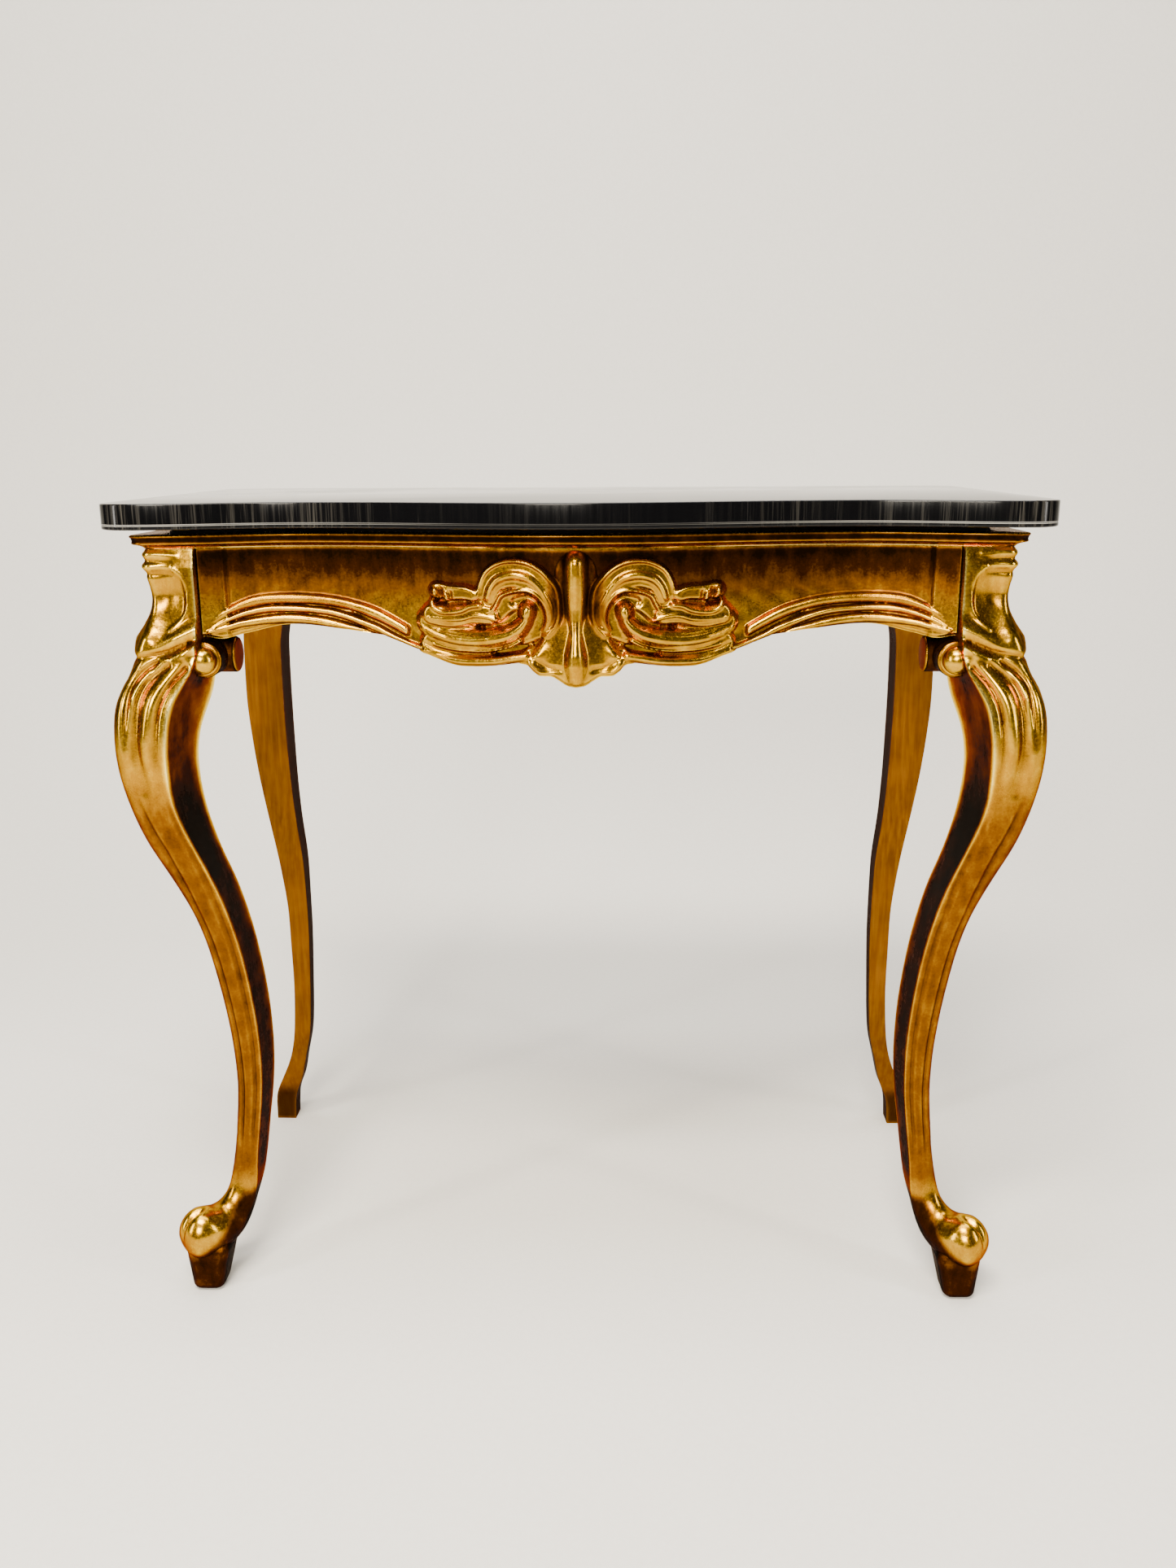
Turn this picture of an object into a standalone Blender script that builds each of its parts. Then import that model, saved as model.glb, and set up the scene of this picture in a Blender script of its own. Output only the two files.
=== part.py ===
"""Miniature console table, one twelfth of full size: serpentine slab on four cabriole legs.

Metres, +Z up, +X to the table's right as seen from the front, -Y to the front.
The origin is on the floor, under the middle of the slab.
"""

import math

import bmesh
import bpy

# Overall sizes.
WIDTH = 0.074
DEPTH = 0.038
HEIGHT = 0.070
GAP = 0.0003  # clearance between faces that bear on each other

# Slab, and the curve of its front edge.
SLAB_THICKNESS = 0.0020
SLAB_CORNER = 0.0026
SLAB_ARRIS = 0.00025
FRONT_RECESS = 0.0034  # how far the front steps back at its hollows
HOLLOW_X = 0.022  # where the hollows are
END_RETURN = 0.78  # share of the recess that the front wins back at its ends

# Lip under the slab and the board that it frames.
LIP_INSET = 0.0023
LIP_WIDTH = 0.0018
LIP_HEIGHT = 0.0008
LIP_DROP = 0.0005  # from the slab's underside to the lip
LIP_CORNER = 0.0022
LIP_RETURN = 0.0050  # how far the front and rear lips run along the sides

# Heads of the legs, square in plan, and the aprons between them.
HEAD = 0.0042
HEAD_INSET_X = 0.0026
HEAD_INSET_Y = 0.0032
FRONT_APRON_INSET = 0.0027  # from the slab's front edge
FRONT_APRON_THICKNESS = 0.0026
APRON_THICKNESS = 0.0024
APRON_SETBACK = 0.0007  # plain aprons, behind the outside of the heads
APRON_END_DROP = 0.0068
APRON_MIDDLE_DROP = 0.0054

# Dowels that hold the aprons to the legs.
DOWEL_RADIUS = 0.0004
DOWEL_DEPTH = 0.0020
LONG_DOWEL_DROP = 0.0022
SIDE_DOWEL_DROP = 0.0046

# Glue blocks.
BLOCK_REACH = 0.0058
BLOCK_DROP = 0.0008
BLOCK_HEIGHT = 0.0042

# Scrolled ends under the heads of the front legs, each with a ball as its eye.
BALL_RADIUS = 0.0011
BALL_DROP = 0.0089
BALL_BEHIND_FACE = 0.0006  # the ball's middle stands this far behind the head's face
EAR_RADIUS = 0.0012

# Carved ornament on the front apron.
RIB_THICKNESS = 0.0013
SCROLL_RADIUS = 0.0006

# Leg profiles: share of the leg's length, then how far the outer and the inner corner stand
# outside (+) or inside (-) the outer corner of the head.
FRONT_LEG = (
    (1.00, 0.0000, -HEAD),
    (0.95, -0.0004, -HEAD),
    (0.90, 0.0002, -HEAD),
    (0.84, 0.0017, -HEAD),
    (0.77, 0.0025, -0.0028),
    (0.69, 0.0019, -0.0027),
    (0.58, -0.0004, -0.0043),
    (0.45, -0.0026, -0.0059),
    (0.29, -0.0033, -0.0062),
    (0.155, -0.0025, -0.0050),
    (0.125, -0.0020, -0.0045),
    (0.100, 0.0011, -0.0040),
    (0.065, 0.0014, -0.0033),
    (0.030, 0.0009, -0.0021),
    (0.00, 0.0009, -0.0020),
)
REAR_LEG = (
    (1.00, 0.0000, -HEAD),
    (0.93, 0.0000, -HEAD),
    (0.86, 0.0008, -0.0036),
    (0.80, 0.0013, -0.0029),
    (0.70, 0.0011, -0.0032),
    (0.58, 0.0000, -0.0037),
    (0.45, -0.0018, -0.0047),
    (0.29, -0.0024, -0.0044),
    (0.15, -0.0013, -0.0030),
    (0.07, 0.0004, -0.0018),
    (0.00, 0.0013, -0.0009),
)
LEG_RINGS = 34

# Levels and places that follow from the sizes above.
SLAB_Z = HEIGHT - SLAB_THICKNESS
LIP_TOP = SLAB_Z - LIP_DROP
FRAME_TOP = LIP_TOP - LIP_HEIGHT - GAP
HEAD_X = WIDTH / 2 - HEAD_INSET_X
HEAD_Y = DEPTH / 2 - HEAD_INSET_Y
JOINT_X = HEAD_X - HEAD - GAP
JOINT_Y = HEAD_Y - HEAD - GAP
BORE_RADIUS = DOWEL_RADIUS + GAP

# Finishes: base colour, roughness, metallic.
FINISHES = {
    "gloss_black": ((0.012, 0.012, 0.013), 0.12, 0.0),
    "black_board": ((0.020, 0.018, 0.016), 0.75, 0.0),
    "gilt": ((0.76, 0.46, 0.10), 0.32, 1.0),
    "rear_gilt": ((0.50, 0.22, 0.03), 0.42, 1.0),
    "bare_wood": ((0.45, 0.28, 0.15), 0.70, 0.0),
}


def collection(name):
    made = bpy.data.collections.new(name)
    bpy.context.scene.collection.children.link(made)
    return made


def finish(name):
    found = bpy.data.materials.get(name)
    if found:
        return found
    colour, roughness, metallic = FINISHES[name]
    made = bpy.data.materials.new(name)
    made.use_nodes = True
    shader = made.node_tree.nodes["Principled BSDF"]
    shader.inputs["Base Color"].default_value = (*colour, 1.0)
    shader.inputs["Roughness"].default_value = roughness
    shader.inputs["Metallic"].default_value = metallic
    return made


def front_edge(x):
    """Y of the slab's serpentine front edge, full in the middle and hollow either side of it."""
    across = abs(x)
    if across < HOLLOW_X:
        recess = (1 - math.cos(math.pi * across / HOLLOW_X)) / 2
    else:
        end = WIDTH / 2 - SLAB_CORNER
        beyond = min((across - HOLLOW_X) / (end - HOLLOW_X), 1.0)
        recess = 1 - END_RETURN * (1 - math.cos(math.pi * beyond)) / 2
    return -DEPTH / 2 + FRONT_RECESS * recess


def arc(centre, radius, start, end, steps=8):
    """Points of an arc, angles in degrees."""
    angles = [math.radians(start + (end - start) * i / steps) for i in range(steps + 1)]
    return [(centre[0] + radius * math.cos(a), centre[1] + radius * math.sin(a)) for a in angles]


def front_run(inset, corner, steps=56):
    """The front edge moved in by inset, from the left corner's arc to the right corner's."""
    reach = WIDTH / 2 - inset - corner
    xs = [-reach + 2 * reach * i / steps for i in range(steps + 1)]
    middle = [(x, front_edge(x) + inset) for x in xs]
    turn = middle[0][1] + corner
    left = arc((-reach, turn), corner, 180, 270)
    right = arc((reach, turn), corner, 270, 360)
    return left + middle[1:-1] + right


def rear_run(inset, corner):
    """The straight rear edge moved in by inset, from the right corner's arc to the left's."""
    reach = WIDTH / 2 - inset - corner
    turn = DEPTH / 2 - inset - corner
    return arc((reach, turn), corner, 0, 90) + arc((-reach, turn), corner, 90, 180)


def spline(points, steps):
    """A smooth curve through the points, with the given number of steps between each two."""
    ends = [points[0], *points, points[-1]]
    curve = []
    for a, b, c, d in zip(ends, ends[1:], ends[2:], ends[3:]):
        for i in range(steps):
            t = i / steps
            weights = (
                (-t + 2 * t**2 - t**3) / 2,
                (2 - 5 * t**2 + 3 * t**3) / 2,
                (t + 4 * t**2 - 3 * t**3) / 2,
                (-(t**2) + t**3) / 2,
            )
            corners = zip(a, b, c, d)
            curve.append(tuple(sum(w * v for w, v in zip(weights, vs)) for vs in corners))
    curve.append(tuple(points[-1]))
    return curve


def put(made, group):
    """Moves an object to a collection, and hides it there if it is a cutter."""
    for held in list(made.users_collection):
        held.objects.unlink(made)
    group.objects.link(made)
    if group.name == "cutters":
        made.display_type = "WIRE"
        made.hide_render = True


def place(name, data, group, material=None):
    made = bpy.data.objects.new(name, data)
    if material:
        data.materials.append(finish(material))
    put(made, group)
    return made


def plate(name, outline, low, high, group, material=None):
    """A flat outline in plan, solid from one height to another."""
    data = bpy.data.curves.new(name, "CURVE")
    data.dimensions = "2D"
    data.fill_mode = "BOTH"
    data.extrude = (high - low) / 2
    line = data.splines.new("POLY")
    line.points.add(len(outline) - 1)
    for point, (x, y) in zip(line.points, outline):
        point.co = (x, y, 0, 1)
    line.use_cyclic_u = True
    made = place(name, data, group, material)
    made.location.z = (high + low) / 2
    return made


def as_mesh(made):
    """The same object with its curve turned into a welded mesh, ready for Boolean."""
    bpy.context.view_layer.update()
    name = made.name
    ready = made.evaluated_get(bpy.context.evaluated_depsgraph_get())
    data = bpy.data.meshes.new_from_object(ready)
    shape = bmesh.new()
    shape.from_mesh(data)
    bmesh.ops.remove_doubles(shape, verts=shape.verts, dist=1e-7)
    bmesh.ops.recalc_face_normals(shape, faces=shape.faces)
    shape.to_mesh(data)
    shape.free()
    matrix = made.matrix_world.copy()
    group = made.users_collection[0]
    bpy.data.objects.remove(made)
    solid = bpy.data.objects.new(name, data)
    solid.matrix_world = matrix
    put(solid, group)
    return solid


def rod(name, radius, length, centre, axis, group, material=None):
    """A cylinder along X or Y."""
    bpy.ops.mesh.primitive_cylinder_add(vertices=20, radius=radius, depth=length)
    made = bpy.context.object
    made.name = name
    made.location = centre
    made.rotation_euler = (0, math.pi / 2, 0) if axis == "X" else (math.pi / 2, 0, 0)
    put(made, group)
    bpy.ops.object.shade_smooth_by_angle(angle=math.radians(40))
    if material:
        made.data.materials.append(finish(material))
    return made


def combine(made, other, operation):
    change = made.modifiers.new(other.name, "BOOLEAN")
    change.operation = operation
    change.solver = "EXACT"
    change.object = other


def soften(made, width, segments=2):
    change = made.modifiers.new("edges", "BEVEL")
    change.width = width
    change.segments = segments
    change.limit_method = "ANGLE"
    change.angle_limit = math.radians(50)


def build_slab(parts):
    outline = front_run(0, SLAB_CORNER) + rear_run(0, SLAB_CORNER)[:-1]
    slab = as_mesh(plate("top_slab", outline, SLAB_Z, HEIGHT, parts, "gloss_black"))
    soften(slab, SLAB_ARRIS, 1)


def build_lip(parts):
    """Four lip rails round a thin board; the front and rear rails turn the corners."""
    low = LIP_TOP - LIP_HEIGHT
    inner = LIP_INSET + LIP_WIDTH
    corner = LIP_CORNER - LIP_WIDTH
    front = front_run(LIP_INSET, LIP_CORNER)
    rear = rear_run(LIP_INSET, LIP_CORNER)
    front_end = front[0][1] + LIP_RETURN
    rear_end = rear[0][1] - LIP_RETURN
    outer_x = WIDTH / 2 - LIP_INSET
    inner_x = WIDTH / 2 - inner

    def ends(y, sign):
        return [(sign * outer_x, y), (sign * inner_x, y)]

    front_inside = front_run(inner, corner)[::-1]
    rear_inside = rear_run(inner, corner)[::-1]
    front_outline = front + ends(front_end, 1) + front_inside + ends(front_end, -1)[::-1]
    rear_outline = rear + ends(rear_end, -1) + rear_inside + ends(rear_end, 1)[::-1]
    plate("rim_front", front_outline, low, LIP_TOP, parts, "gilt")
    plate("rim_rear", rear_outline, low, LIP_TOP, parts, "gilt")
    for side, sign in (("left", -1), ("right", 1)):
        outline = ends(front_end + GAP, sign) + ends(rear_end - GAP, sign)[::-1]
        plate(f"rim_{side}", outline, low, LIP_TOP, parts, "gilt")
    inset = inner + GAP
    board = front_run(inset, corner) + rear_run(inset, corner)
    plate("sub_top", board, low, SLAB_Z - GAP, parts, "black_board")


def build_front_apron(parts, cutters):
    """A serpentine board cut to a carved lower edge."""
    drops = [
        (0.0, 0.0108),
        (0.0014, 0.0100),
        (0.0030, 0.0098),
        (0.0041, 0.0090),
        (0.0060, 0.0092),
        (0.0090, 0.0093),
        (0.0120, 0.0084),
        (0.0160, 0.0070),
        (JOINT_X - 0.0064, 0.0063),
        (JOINT_X - 0.0030, 0.0070),
        (JOINT_X - 0.0012, 0.0073),
        (JOINT_X, 0.0070),
    ]
    lower = [(x, FRAME_TOP - drop) for x, drop in spline(drops, 5)]
    top = [(JOINT_X, FRAME_TOP), (-JOINT_X, FRAME_TOP)]
    outline = [(-x, z) for x, z in lower[:0:-1]] + lower + top
    face = plate("apron_elevation", outline, -DEPTH, DEPTH, cutters)
    face.rotation_euler.x = math.pi / 2
    face.location.z = 0
    face = as_mesh(face)
    reach = JOINT_X + GAP
    xs = [-reach + reach * i / 40 for i in range(81)]
    outside = [(x, front_edge(x) + FRONT_APRON_INSET) for x in xs]
    inside = [(x, y + FRONT_APRON_THICKNESS) for x, y in reversed(outside)]
    low = FRAME_TOP - HEIGHT / 2
    high = FRAME_TOP + LIP_HEIGHT
    apron = as_mesh(plate("front_apron", outside + inside, low, high, parts, "gilt"))
    combine(apron, face, "INTERSECT")
    return apron


def plain_edge(half):
    """Lower edge of a plain apron: a shallow arch between two straight ends."""
    run = half * 0.22
    rise = APRON_END_DROP - APRON_MIDDLE_DROP
    steps = 16
    points = [(-half, -APRON_END_DROP)]
    for i in range(steps + 1):
        share = i / steps
        x = -half + run + (2 * half - 2 * run) * share
        points.append((x, -APRON_END_DROP + rise * math.sin(math.pi * share) ** 0.5))
    points.append((half, -APRON_END_DROP))
    return points


def build_plain_apron(name, half, centre, turned, parts):
    """A flat apron along X, or along Y when turned."""
    outline = plain_edge(half) + [(half, 0), (-half, 0)]
    half_thick = APRON_THICKNESS / 2
    board = plate(name, outline, -half_thick, half_thick, parts, "rear_gilt")
    board.rotation_euler = (math.pi / 2, 0, math.pi / 2 if turned else 0)
    board.location = (centre[0], centre[1], FRAME_TOP)
    return as_mesh(board)


def at_share(profile, share):
    """Outer and inner reach of a leg at a share of its length, eased between the stations."""
    rows = profile[::-1]
    count = len(rows)
    slopes = []
    for i in range(count):
        a = rows[max(i - 1, 0)]
        b = rows[min(i + 1, count - 1)]
        slopes.append([(b[k] - a[k]) / (b[0] - a[0]) for k in (1, 2)])
    for i in range(count - 1):
        low, high = rows[i], rows[i + 1]
        if share <= high[0] or i == count - 2:
            break
    span = high[0] - low[0]
    t = (share - low[0]) / span
    reach = []
    for k in (1, 2):
        rise = (2 * t**3 - 3 * t**2 + 1) * low[k] + (3 * t**2 - 2 * t**3) * high[k]
        rise += (t**3 - 2 * t**2 + t) * span * slopes[i][k - 1]
        rise += (t**3 - t**2) * span * slopes[i + 1][k - 1]
        reach.append(rise)
    return reach


def leg_section(outer, inner):
    """Plan section in the quadrant's own axes: round at the outer corner, cut at the inner."""
    size = outer - inner
    round_off = size * 0.28
    cut = size * 0.22
    near_x, near_y = HEAD_X + inner, HEAD_Y + inner
    far_x, far_y = HEAD_X + outer, HEAD_Y + outer
    points = arc((far_x - round_off, far_y - round_off), round_off, 0, 90, 5)
    points += [(near_x + cut / 2, far_y), (near_x, far_y - cut / 2)]
    points += [(near_x, near_y + cut), (near_x + cut, near_y)]
    points += [(far_x - cut / 2, near_y), (far_x, near_y + cut / 2)]
    return points


def build_leg(name, profile, side, front, parts, material):
    """A cabriole leg lofted up from the floor; side and front are the signs of X and Y."""
    shape = bmesh.new()
    rings = []
    for i in range(LEG_RINGS + 1):
        share = i / LEG_RINGS
        height = FRAME_TOP * share
        section = leg_section(*at_share(profile, share))
        rings.append([shape.verts.new((side * x, front * y, height)) for x, y in section])
    count = len(rings[0])
    for low, high in zip(rings, rings[1:]):
        for j in range(count):
            k = (j + 1) % count
            shape.faces.new((low[j], low[k], high[k], high[j]))
    shape.faces.new(rings[0])
    shape.faces.new(rings[-1])
    bmesh.ops.recalc_face_normals(shape, faces=shape.faces)
    data = bpy.data.meshes.new(name)
    shape.to_mesh(data)
    shape.free()
    return place(name, data, parts, material)


def add_ears(leg, side, cutters):
    """The scrolled ends under a front leg's head, one at each apron, and their balls."""
    height = FRAME_TOP - BALL_DROP
    inner_x = JOINT_X + GAP
    inner_y = JOINT_Y + GAP
    ears = (
        ("front", "Y", inner_x, HEAD_Y - HEAD / 2, inner_x, HEAD_Y - BALL_BEHIND_FACE),
        ("side", "X", HEAD_X - HEAD / 2, inner_y, HEAD_X - BALL_BEHIND_FACE, inner_y),
    )
    for face, axis, x, y, ball_x, ball_y in ears:
        centre = (side * x, -y, height)
        ear = rod(f"{leg.name}_{face}_ear", EAR_RADIUS, HEAD, centre, axis, cutters)
        combine(leg, ear, "UNION")
        bpy.ops.mesh.primitive_uv_sphere_add(segments=20, ring_count=12, radius=BALL_RADIUS)
        ball = bpy.context.object
        ball.name = f"{leg.name}_{face}_ball"
        ball.location = (side * ball_x, -ball_y, height)
        put(ball, cutters)
        combine(leg, ball, "UNION")


def build_dowel(name, joined, centre, axis, parts, cutters):
    """A dowel and the bore that holds it, cut in each of the two pieces it joins."""
    length = 2 * DOWEL_DEPTH - GAP
    rod(name, DOWEL_RADIUS, length, centre, axis, parts, "bare_wood")
    bore = rod(f"{name}_bore", BORE_RADIUS, length + 2 * GAP, centre, axis, cutters)
    for piece in joined:
        combine(piece, bore, "DIFFERENCE")


def build_block(name, side, front, face, parts):
    """A glue block behind a corner, notched over the leg's inner corner.

    face gives how far the long apron's inner face stands from the middle at a given X.
    """
    apron_x = HEAD_X - APRON_SETBACK - APRON_THICKNESS - GAP
    start = JOINT_X - GAP
    end = apron_x - BLOCK_REACH
    leg_y = JOINT_Y
    xs = [start + (end - start) * i / 4 for i in range(5)]
    outline = [(apron_x, leg_y), (apron_x, leg_y - BLOCK_REACH)]
    outline += [(x, face(x) - GAP) for x in reversed(xs)]
    outline.append((start, leg_y))
    plan = [(side * x, front * y) for x, y in outline]
    high = FRAME_TOP - BLOCK_DROP
    plate(name, plan, high - BLOCK_HEIGHT, high, parts, "bare_wood")


def build_rib(parts):
    """The upright rib in the middle of the front apron, ending in a drop."""
    half = [
        (0.00062, 0.0000),
        (0.00062, 0.0026),
        (0.00045, 0.0035),
        (0.00062, 0.0044),
        (0.00060, 0.0064),
        (0.00085, 0.0078),
        (0.00100, 0.0092),
        (0.00070, 0.0103),
        (0.00000, 0.0108),
    ]
    right = [(x, -drop) for x, drop in spline(half, 3)]
    left = [(-x, z) for x, z in right[-2::-1]]
    rib = plate("centre_rib", right + left, 0, RIB_THICKNESS, parts, "gilt")
    rib.rotation_euler.x = math.pi / 2
    rib.location = (0, front_edge(0) + FRONT_APRON_INSET - GAP - RIB_THICKNESS / 2, FRAME_TOP)
    soften(as_mesh(rib), 0.0003, 2)


def build_scroll(name, route, radii, side, parts):
    """A carved scroll: a round bar of changing thickness laid on the apron's face."""
    data = bpy.data.curves.new(name, "CURVE")
    data.dimensions = "3D"
    data.bevel_depth = SCROLL_RADIUS
    data.bevel_resolution = 2
    data.use_fill_caps = True
    path = spline([(x, drop, r) for (x, drop), r in zip(route, radii)], 4)
    line = data.splines.new("POLY")
    line.points.add(len(path) - 1)
    for point, (x, drop, share) in zip(line.points, path):
        radius = SCROLL_RADIUS * share
        slope_room = abs(front_edge(x + radius) - front_edge(x))
        y = front_edge(x) + FRONT_APRON_INSET - GAP - radius - slope_room
        point.co = (side * x, y, FRAME_TOP - drop, 1)
        point.radius = share
    place(name, data, parts, "gilt")
    for line in data.splines:
        line.use_smooth = True


def main():
    for left_over in list(bpy.data.objects):
        bpy.data.objects.remove(left_over)
    parts = collection("console_table")
    cutters = collection("cutters")
    build_slab(parts)
    build_lip(parts)

    aprons = {"front": build_front_apron(parts, cutters)}
    rear_y = HEAD_Y - APRON_SETBACK - APRON_THICKNESS / 2
    side_x = HEAD_X - APRON_SETBACK - APRON_THICKNESS / 2
    aprons["rear"] = build_plain_apron("rear_apron", JOINT_X, (0, rear_y), False, parts)
    for side, sign in (("left", -1), ("right", 1)):
        centre = (sign * side_x, 0)
        aprons[side] = build_plain_apron(f"{side}_apron", JOINT_Y, centre, True, parts)

    joint_x = JOINT_X + GAP / 2
    joint_y = JOINT_Y + GAP / 2
    front_face = FRONT_APRON_INSET + FRONT_APRON_THICKNESS / 2
    front_dowel_y = front_edge(JOINT_X - DOWEL_DEPTH / 2) + front_face
    long_z = FRAME_TOP - LONG_DOWEL_DROP
    side_z = FRAME_TOP - SIDE_DOWEL_DROP

    def front_inner(x):
        return -front_edge(x) - FRONT_APRON_INSET - FRONT_APRON_THICKNESS

    def rear_inner(x):
        return HEAD_Y - APRON_SETBACK - APRON_THICKNESS

    ends = (
        ("front", -1, FRONT_LEG, "gilt", front_dowel_y, front_inner),
        ("rear", 1, REAR_LEG, "rear_gilt", rear_y, rear_inner),
    )
    for end, front, profile, material, dowel_y, face in ends:
        for side, sign in (("left", -1), ("right", 1)):
            leg = build_leg(f"leg_{end}_{side}", profile, sign, front, parts, material)
            if end == "front":
                add_ears(leg, sign, cutters)
            centre = (sign * joint_x, dowel_y, long_z)
            pair = (leg, aprons[end])
            build_dowel(f"dowel_{end}_{side}", pair, centre, "X", parts, cutters)
            centre = (sign * side_x, front * joint_y, side_z)
            pair = (leg, aprons[side])
            build_dowel(f"dowel_{side}_{end}", pair, centre, "Y", parts, cutters)
            build_block(f"corner_block_{end}_{side}", sign, front, face, parts)

    build_rib(parts)
    horn = ((0.0119, 0.0062), (0.0107, 0.0069), (0.0078, 0.0066), (0.0057, 0.0056), (0.0041, 0.0046))
    hook = (
        (0.0077, 0.0032),
        (0.0070, 0.0017),
        (0.0057, 0.0011),
        (0.0038, 0.0015),
        (0.0024, 0.0032),
        (0.0021, 0.0051),
        (0.0030, 0.0072),
    )
    for side, sign in (("left", -1), ("right", 1)):
        build_scroll(f"lower_scroll_{side}", horn, (0.5, 1.0, 1.1, 0.9, 0.8), sign, parts)
        build_scroll(f"upper_scroll_{side}", hook, (0.6, 0.9, 1, 1, 0.9, 0.8, 0.6), sign, parts)


main()
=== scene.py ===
import math
from contextlib import contextmanager

import bpy
import numpy as np
from bpy.props import FloatProperty, FloatVectorProperty, PointerProperty
from mathutils import Matrix, Vector


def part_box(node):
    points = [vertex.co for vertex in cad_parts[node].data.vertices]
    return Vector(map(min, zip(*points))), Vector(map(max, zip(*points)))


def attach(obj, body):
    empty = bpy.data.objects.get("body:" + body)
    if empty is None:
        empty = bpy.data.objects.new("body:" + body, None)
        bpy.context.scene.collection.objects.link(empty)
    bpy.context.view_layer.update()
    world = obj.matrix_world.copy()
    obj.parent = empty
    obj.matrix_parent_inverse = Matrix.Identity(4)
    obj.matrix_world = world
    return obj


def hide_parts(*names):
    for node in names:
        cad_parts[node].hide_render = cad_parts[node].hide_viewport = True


bl_info = {
    "name": "Miniature console table",
    "version": (1, 0, 0),
    "blender": (4, 5, 0),
    "location": "3D View > Sidebar > Console table",
    "description": "Carved and gilded console table with a black serpentine slab, one twelfth size",
    "category": "Mesh",
}

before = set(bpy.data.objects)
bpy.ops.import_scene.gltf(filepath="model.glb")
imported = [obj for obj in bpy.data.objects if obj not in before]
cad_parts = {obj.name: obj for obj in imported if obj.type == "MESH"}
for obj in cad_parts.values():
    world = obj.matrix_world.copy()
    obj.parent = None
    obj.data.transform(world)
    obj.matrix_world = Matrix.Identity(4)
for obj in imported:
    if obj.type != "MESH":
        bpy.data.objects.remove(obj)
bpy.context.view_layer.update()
MM = 0.001
ROOT_2 = math.sqrt(2)

# Places read from the frame, in millimetres.
SLAB_LOW, SLAB_HIGH = [np.array(c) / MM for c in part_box("top_slab")]
APRON_HIGH = np.array(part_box("front_apron")[1]) / MM
HALF_WIDTH = float(SLAB_HIGH[0])
HALF_DEPTH = float(SLAB_HIGH[1])
FRAME_TOP = float(APRON_HIGH[2])
JOINT_X = float(APRON_HIGH[0])

# Sizes that belong to the shape of the pieces, in millimetres.
SLAB_CORNER = 2.6
FRONT_RECESS = 3.4
HOLLOW_X = 22.0
END_RETURN = 0.78
APRON_INSET = 2.7
APRON_THICKNESS = 2.6
EYE = 30.2  # how far from the middle the eyes on the front of the scroll ends are
EYE_Z = 57.5
SIDE_EYE_Y = -11.6  # where the eyes on the outer sides are, front to back
LINE_RISE = 0.36  # height of the fine line round the slab's edge, over its underside
LINE_HALF_WIDTH = 0.03


# ---------------------------------------------------------------- shape helpers


def smooth_step(low, high, value):
    """0 below low, 1 above high, and an S curve between them."""
    share = np.clip((np.asarray(value, float) - low) / (high - low), 0, 1)
    return share * share * (3 - 2 * share)


def bump(value, centre, width):
    """A rounded rise of height 1 about a centre."""
    return np.exp(-(((value - centre) / width) ** 2))


def through(stations, values, at):
    """A smooth curve through the stations that never overshoots between them."""
    order = np.argsort(stations)
    x = np.asarray(stations, float)[order]
    y = np.asarray(values, float)[order]
    gaps = np.diff(x)
    rise = np.diff(y) / gaps
    slope = np.zeros_like(y)
    same_way = rise[:-1] * rise[1:] > 0
    mean = 2 * rise[:-1] * rise[1:] / np.where(same_way, rise[:-1] + rise[1:], 1)
    slope[1:-1] = np.where(same_way, mean, 0)
    slope[0], slope[-1] = rise[0], rise[-1]
    at = np.clip(at, x[0], x[-1])
    i = np.clip(np.searchsorted(x, at) - 1, 0, len(x) - 2)
    t = (at - x[i]) / gaps[i]
    low = (1 + 2 * t) * (1 - t) ** 2 * y[i] + t * (1 - t) ** 2 * gaps[i] * slope[i]
    high = t * t * (3 - 2 * t) * y[i + 1] + t * t * (t - 1) * gaps[i] * slope[i + 1]
    return low + high


def spline(points, steps):
    """A smooth open curve through the points, with so many steps between each two."""
    points = np.asarray(points, float)
    ends = np.vstack([2 * points[0] - points[1], points, 2 * points[-1] - points[-2]])
    t = np.linspace(0, 1, steps, endpoint=False)[:, None]
    runs = []
    for a, b, c, d in zip(ends, ends[1:], ends[2:], ends[3:]):
        bend = (2 * a - 5 * b + 4 * c - d) * t**2 + (3 * b - a - 3 * c + d) * t**3
        runs.append(b + ((c - a) * t + bend) / 2)
    return np.vstack([*runs, points[-1:]])


def front_edge(x):
    """Y of the slab's front edge: full in the middle, hollow either side of it."""
    across = np.abs(x)
    middle = (1 - np.cos(math.pi * across / HOLLOW_X)) / 2
    beyond = np.clip((across - HOLLOW_X) / (HALF_WIDTH - SLAB_CORNER - HOLLOW_X), 0, 1)
    outside = 1 - END_RETURN * (1 - np.cos(math.pi * beyond)) / 2
    return -HALF_DEPTH + FRONT_RECESS * np.where(across < HOLLOW_X, middle, outside)


def slab_outline(inset, corner):
    """The slab's outline moved in by an inset, as points in plan, all the way round."""
    reach = HALF_WIDTH - inset - corner
    xs = np.linspace(-reach, reach, 150)
    front = np.column_stack([xs, front_edge(xs) + inset])
    rear_y = HALF_DEPTH - inset - corner
    front_y = front[0, 1] + corner
    turns = []
    for x, y, start in (
        (reach, front_y, 270), (reach, rear_y, 0), (-reach, rear_y, 90), (-reach, front_y, 180),
    ):
        angle = np.radians(np.linspace(start, start + 90, 13))
        turns.append(np.column_stack([x + corner * np.cos(angle), y + corner * np.sin(angle)]))
    right, rear_right, rear_left, left = turns
    return np.vstack([front[:-1], right, rear_right, rear_left, left[:-1]])


# ---------------------------------------------------------------- mesh helpers


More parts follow.
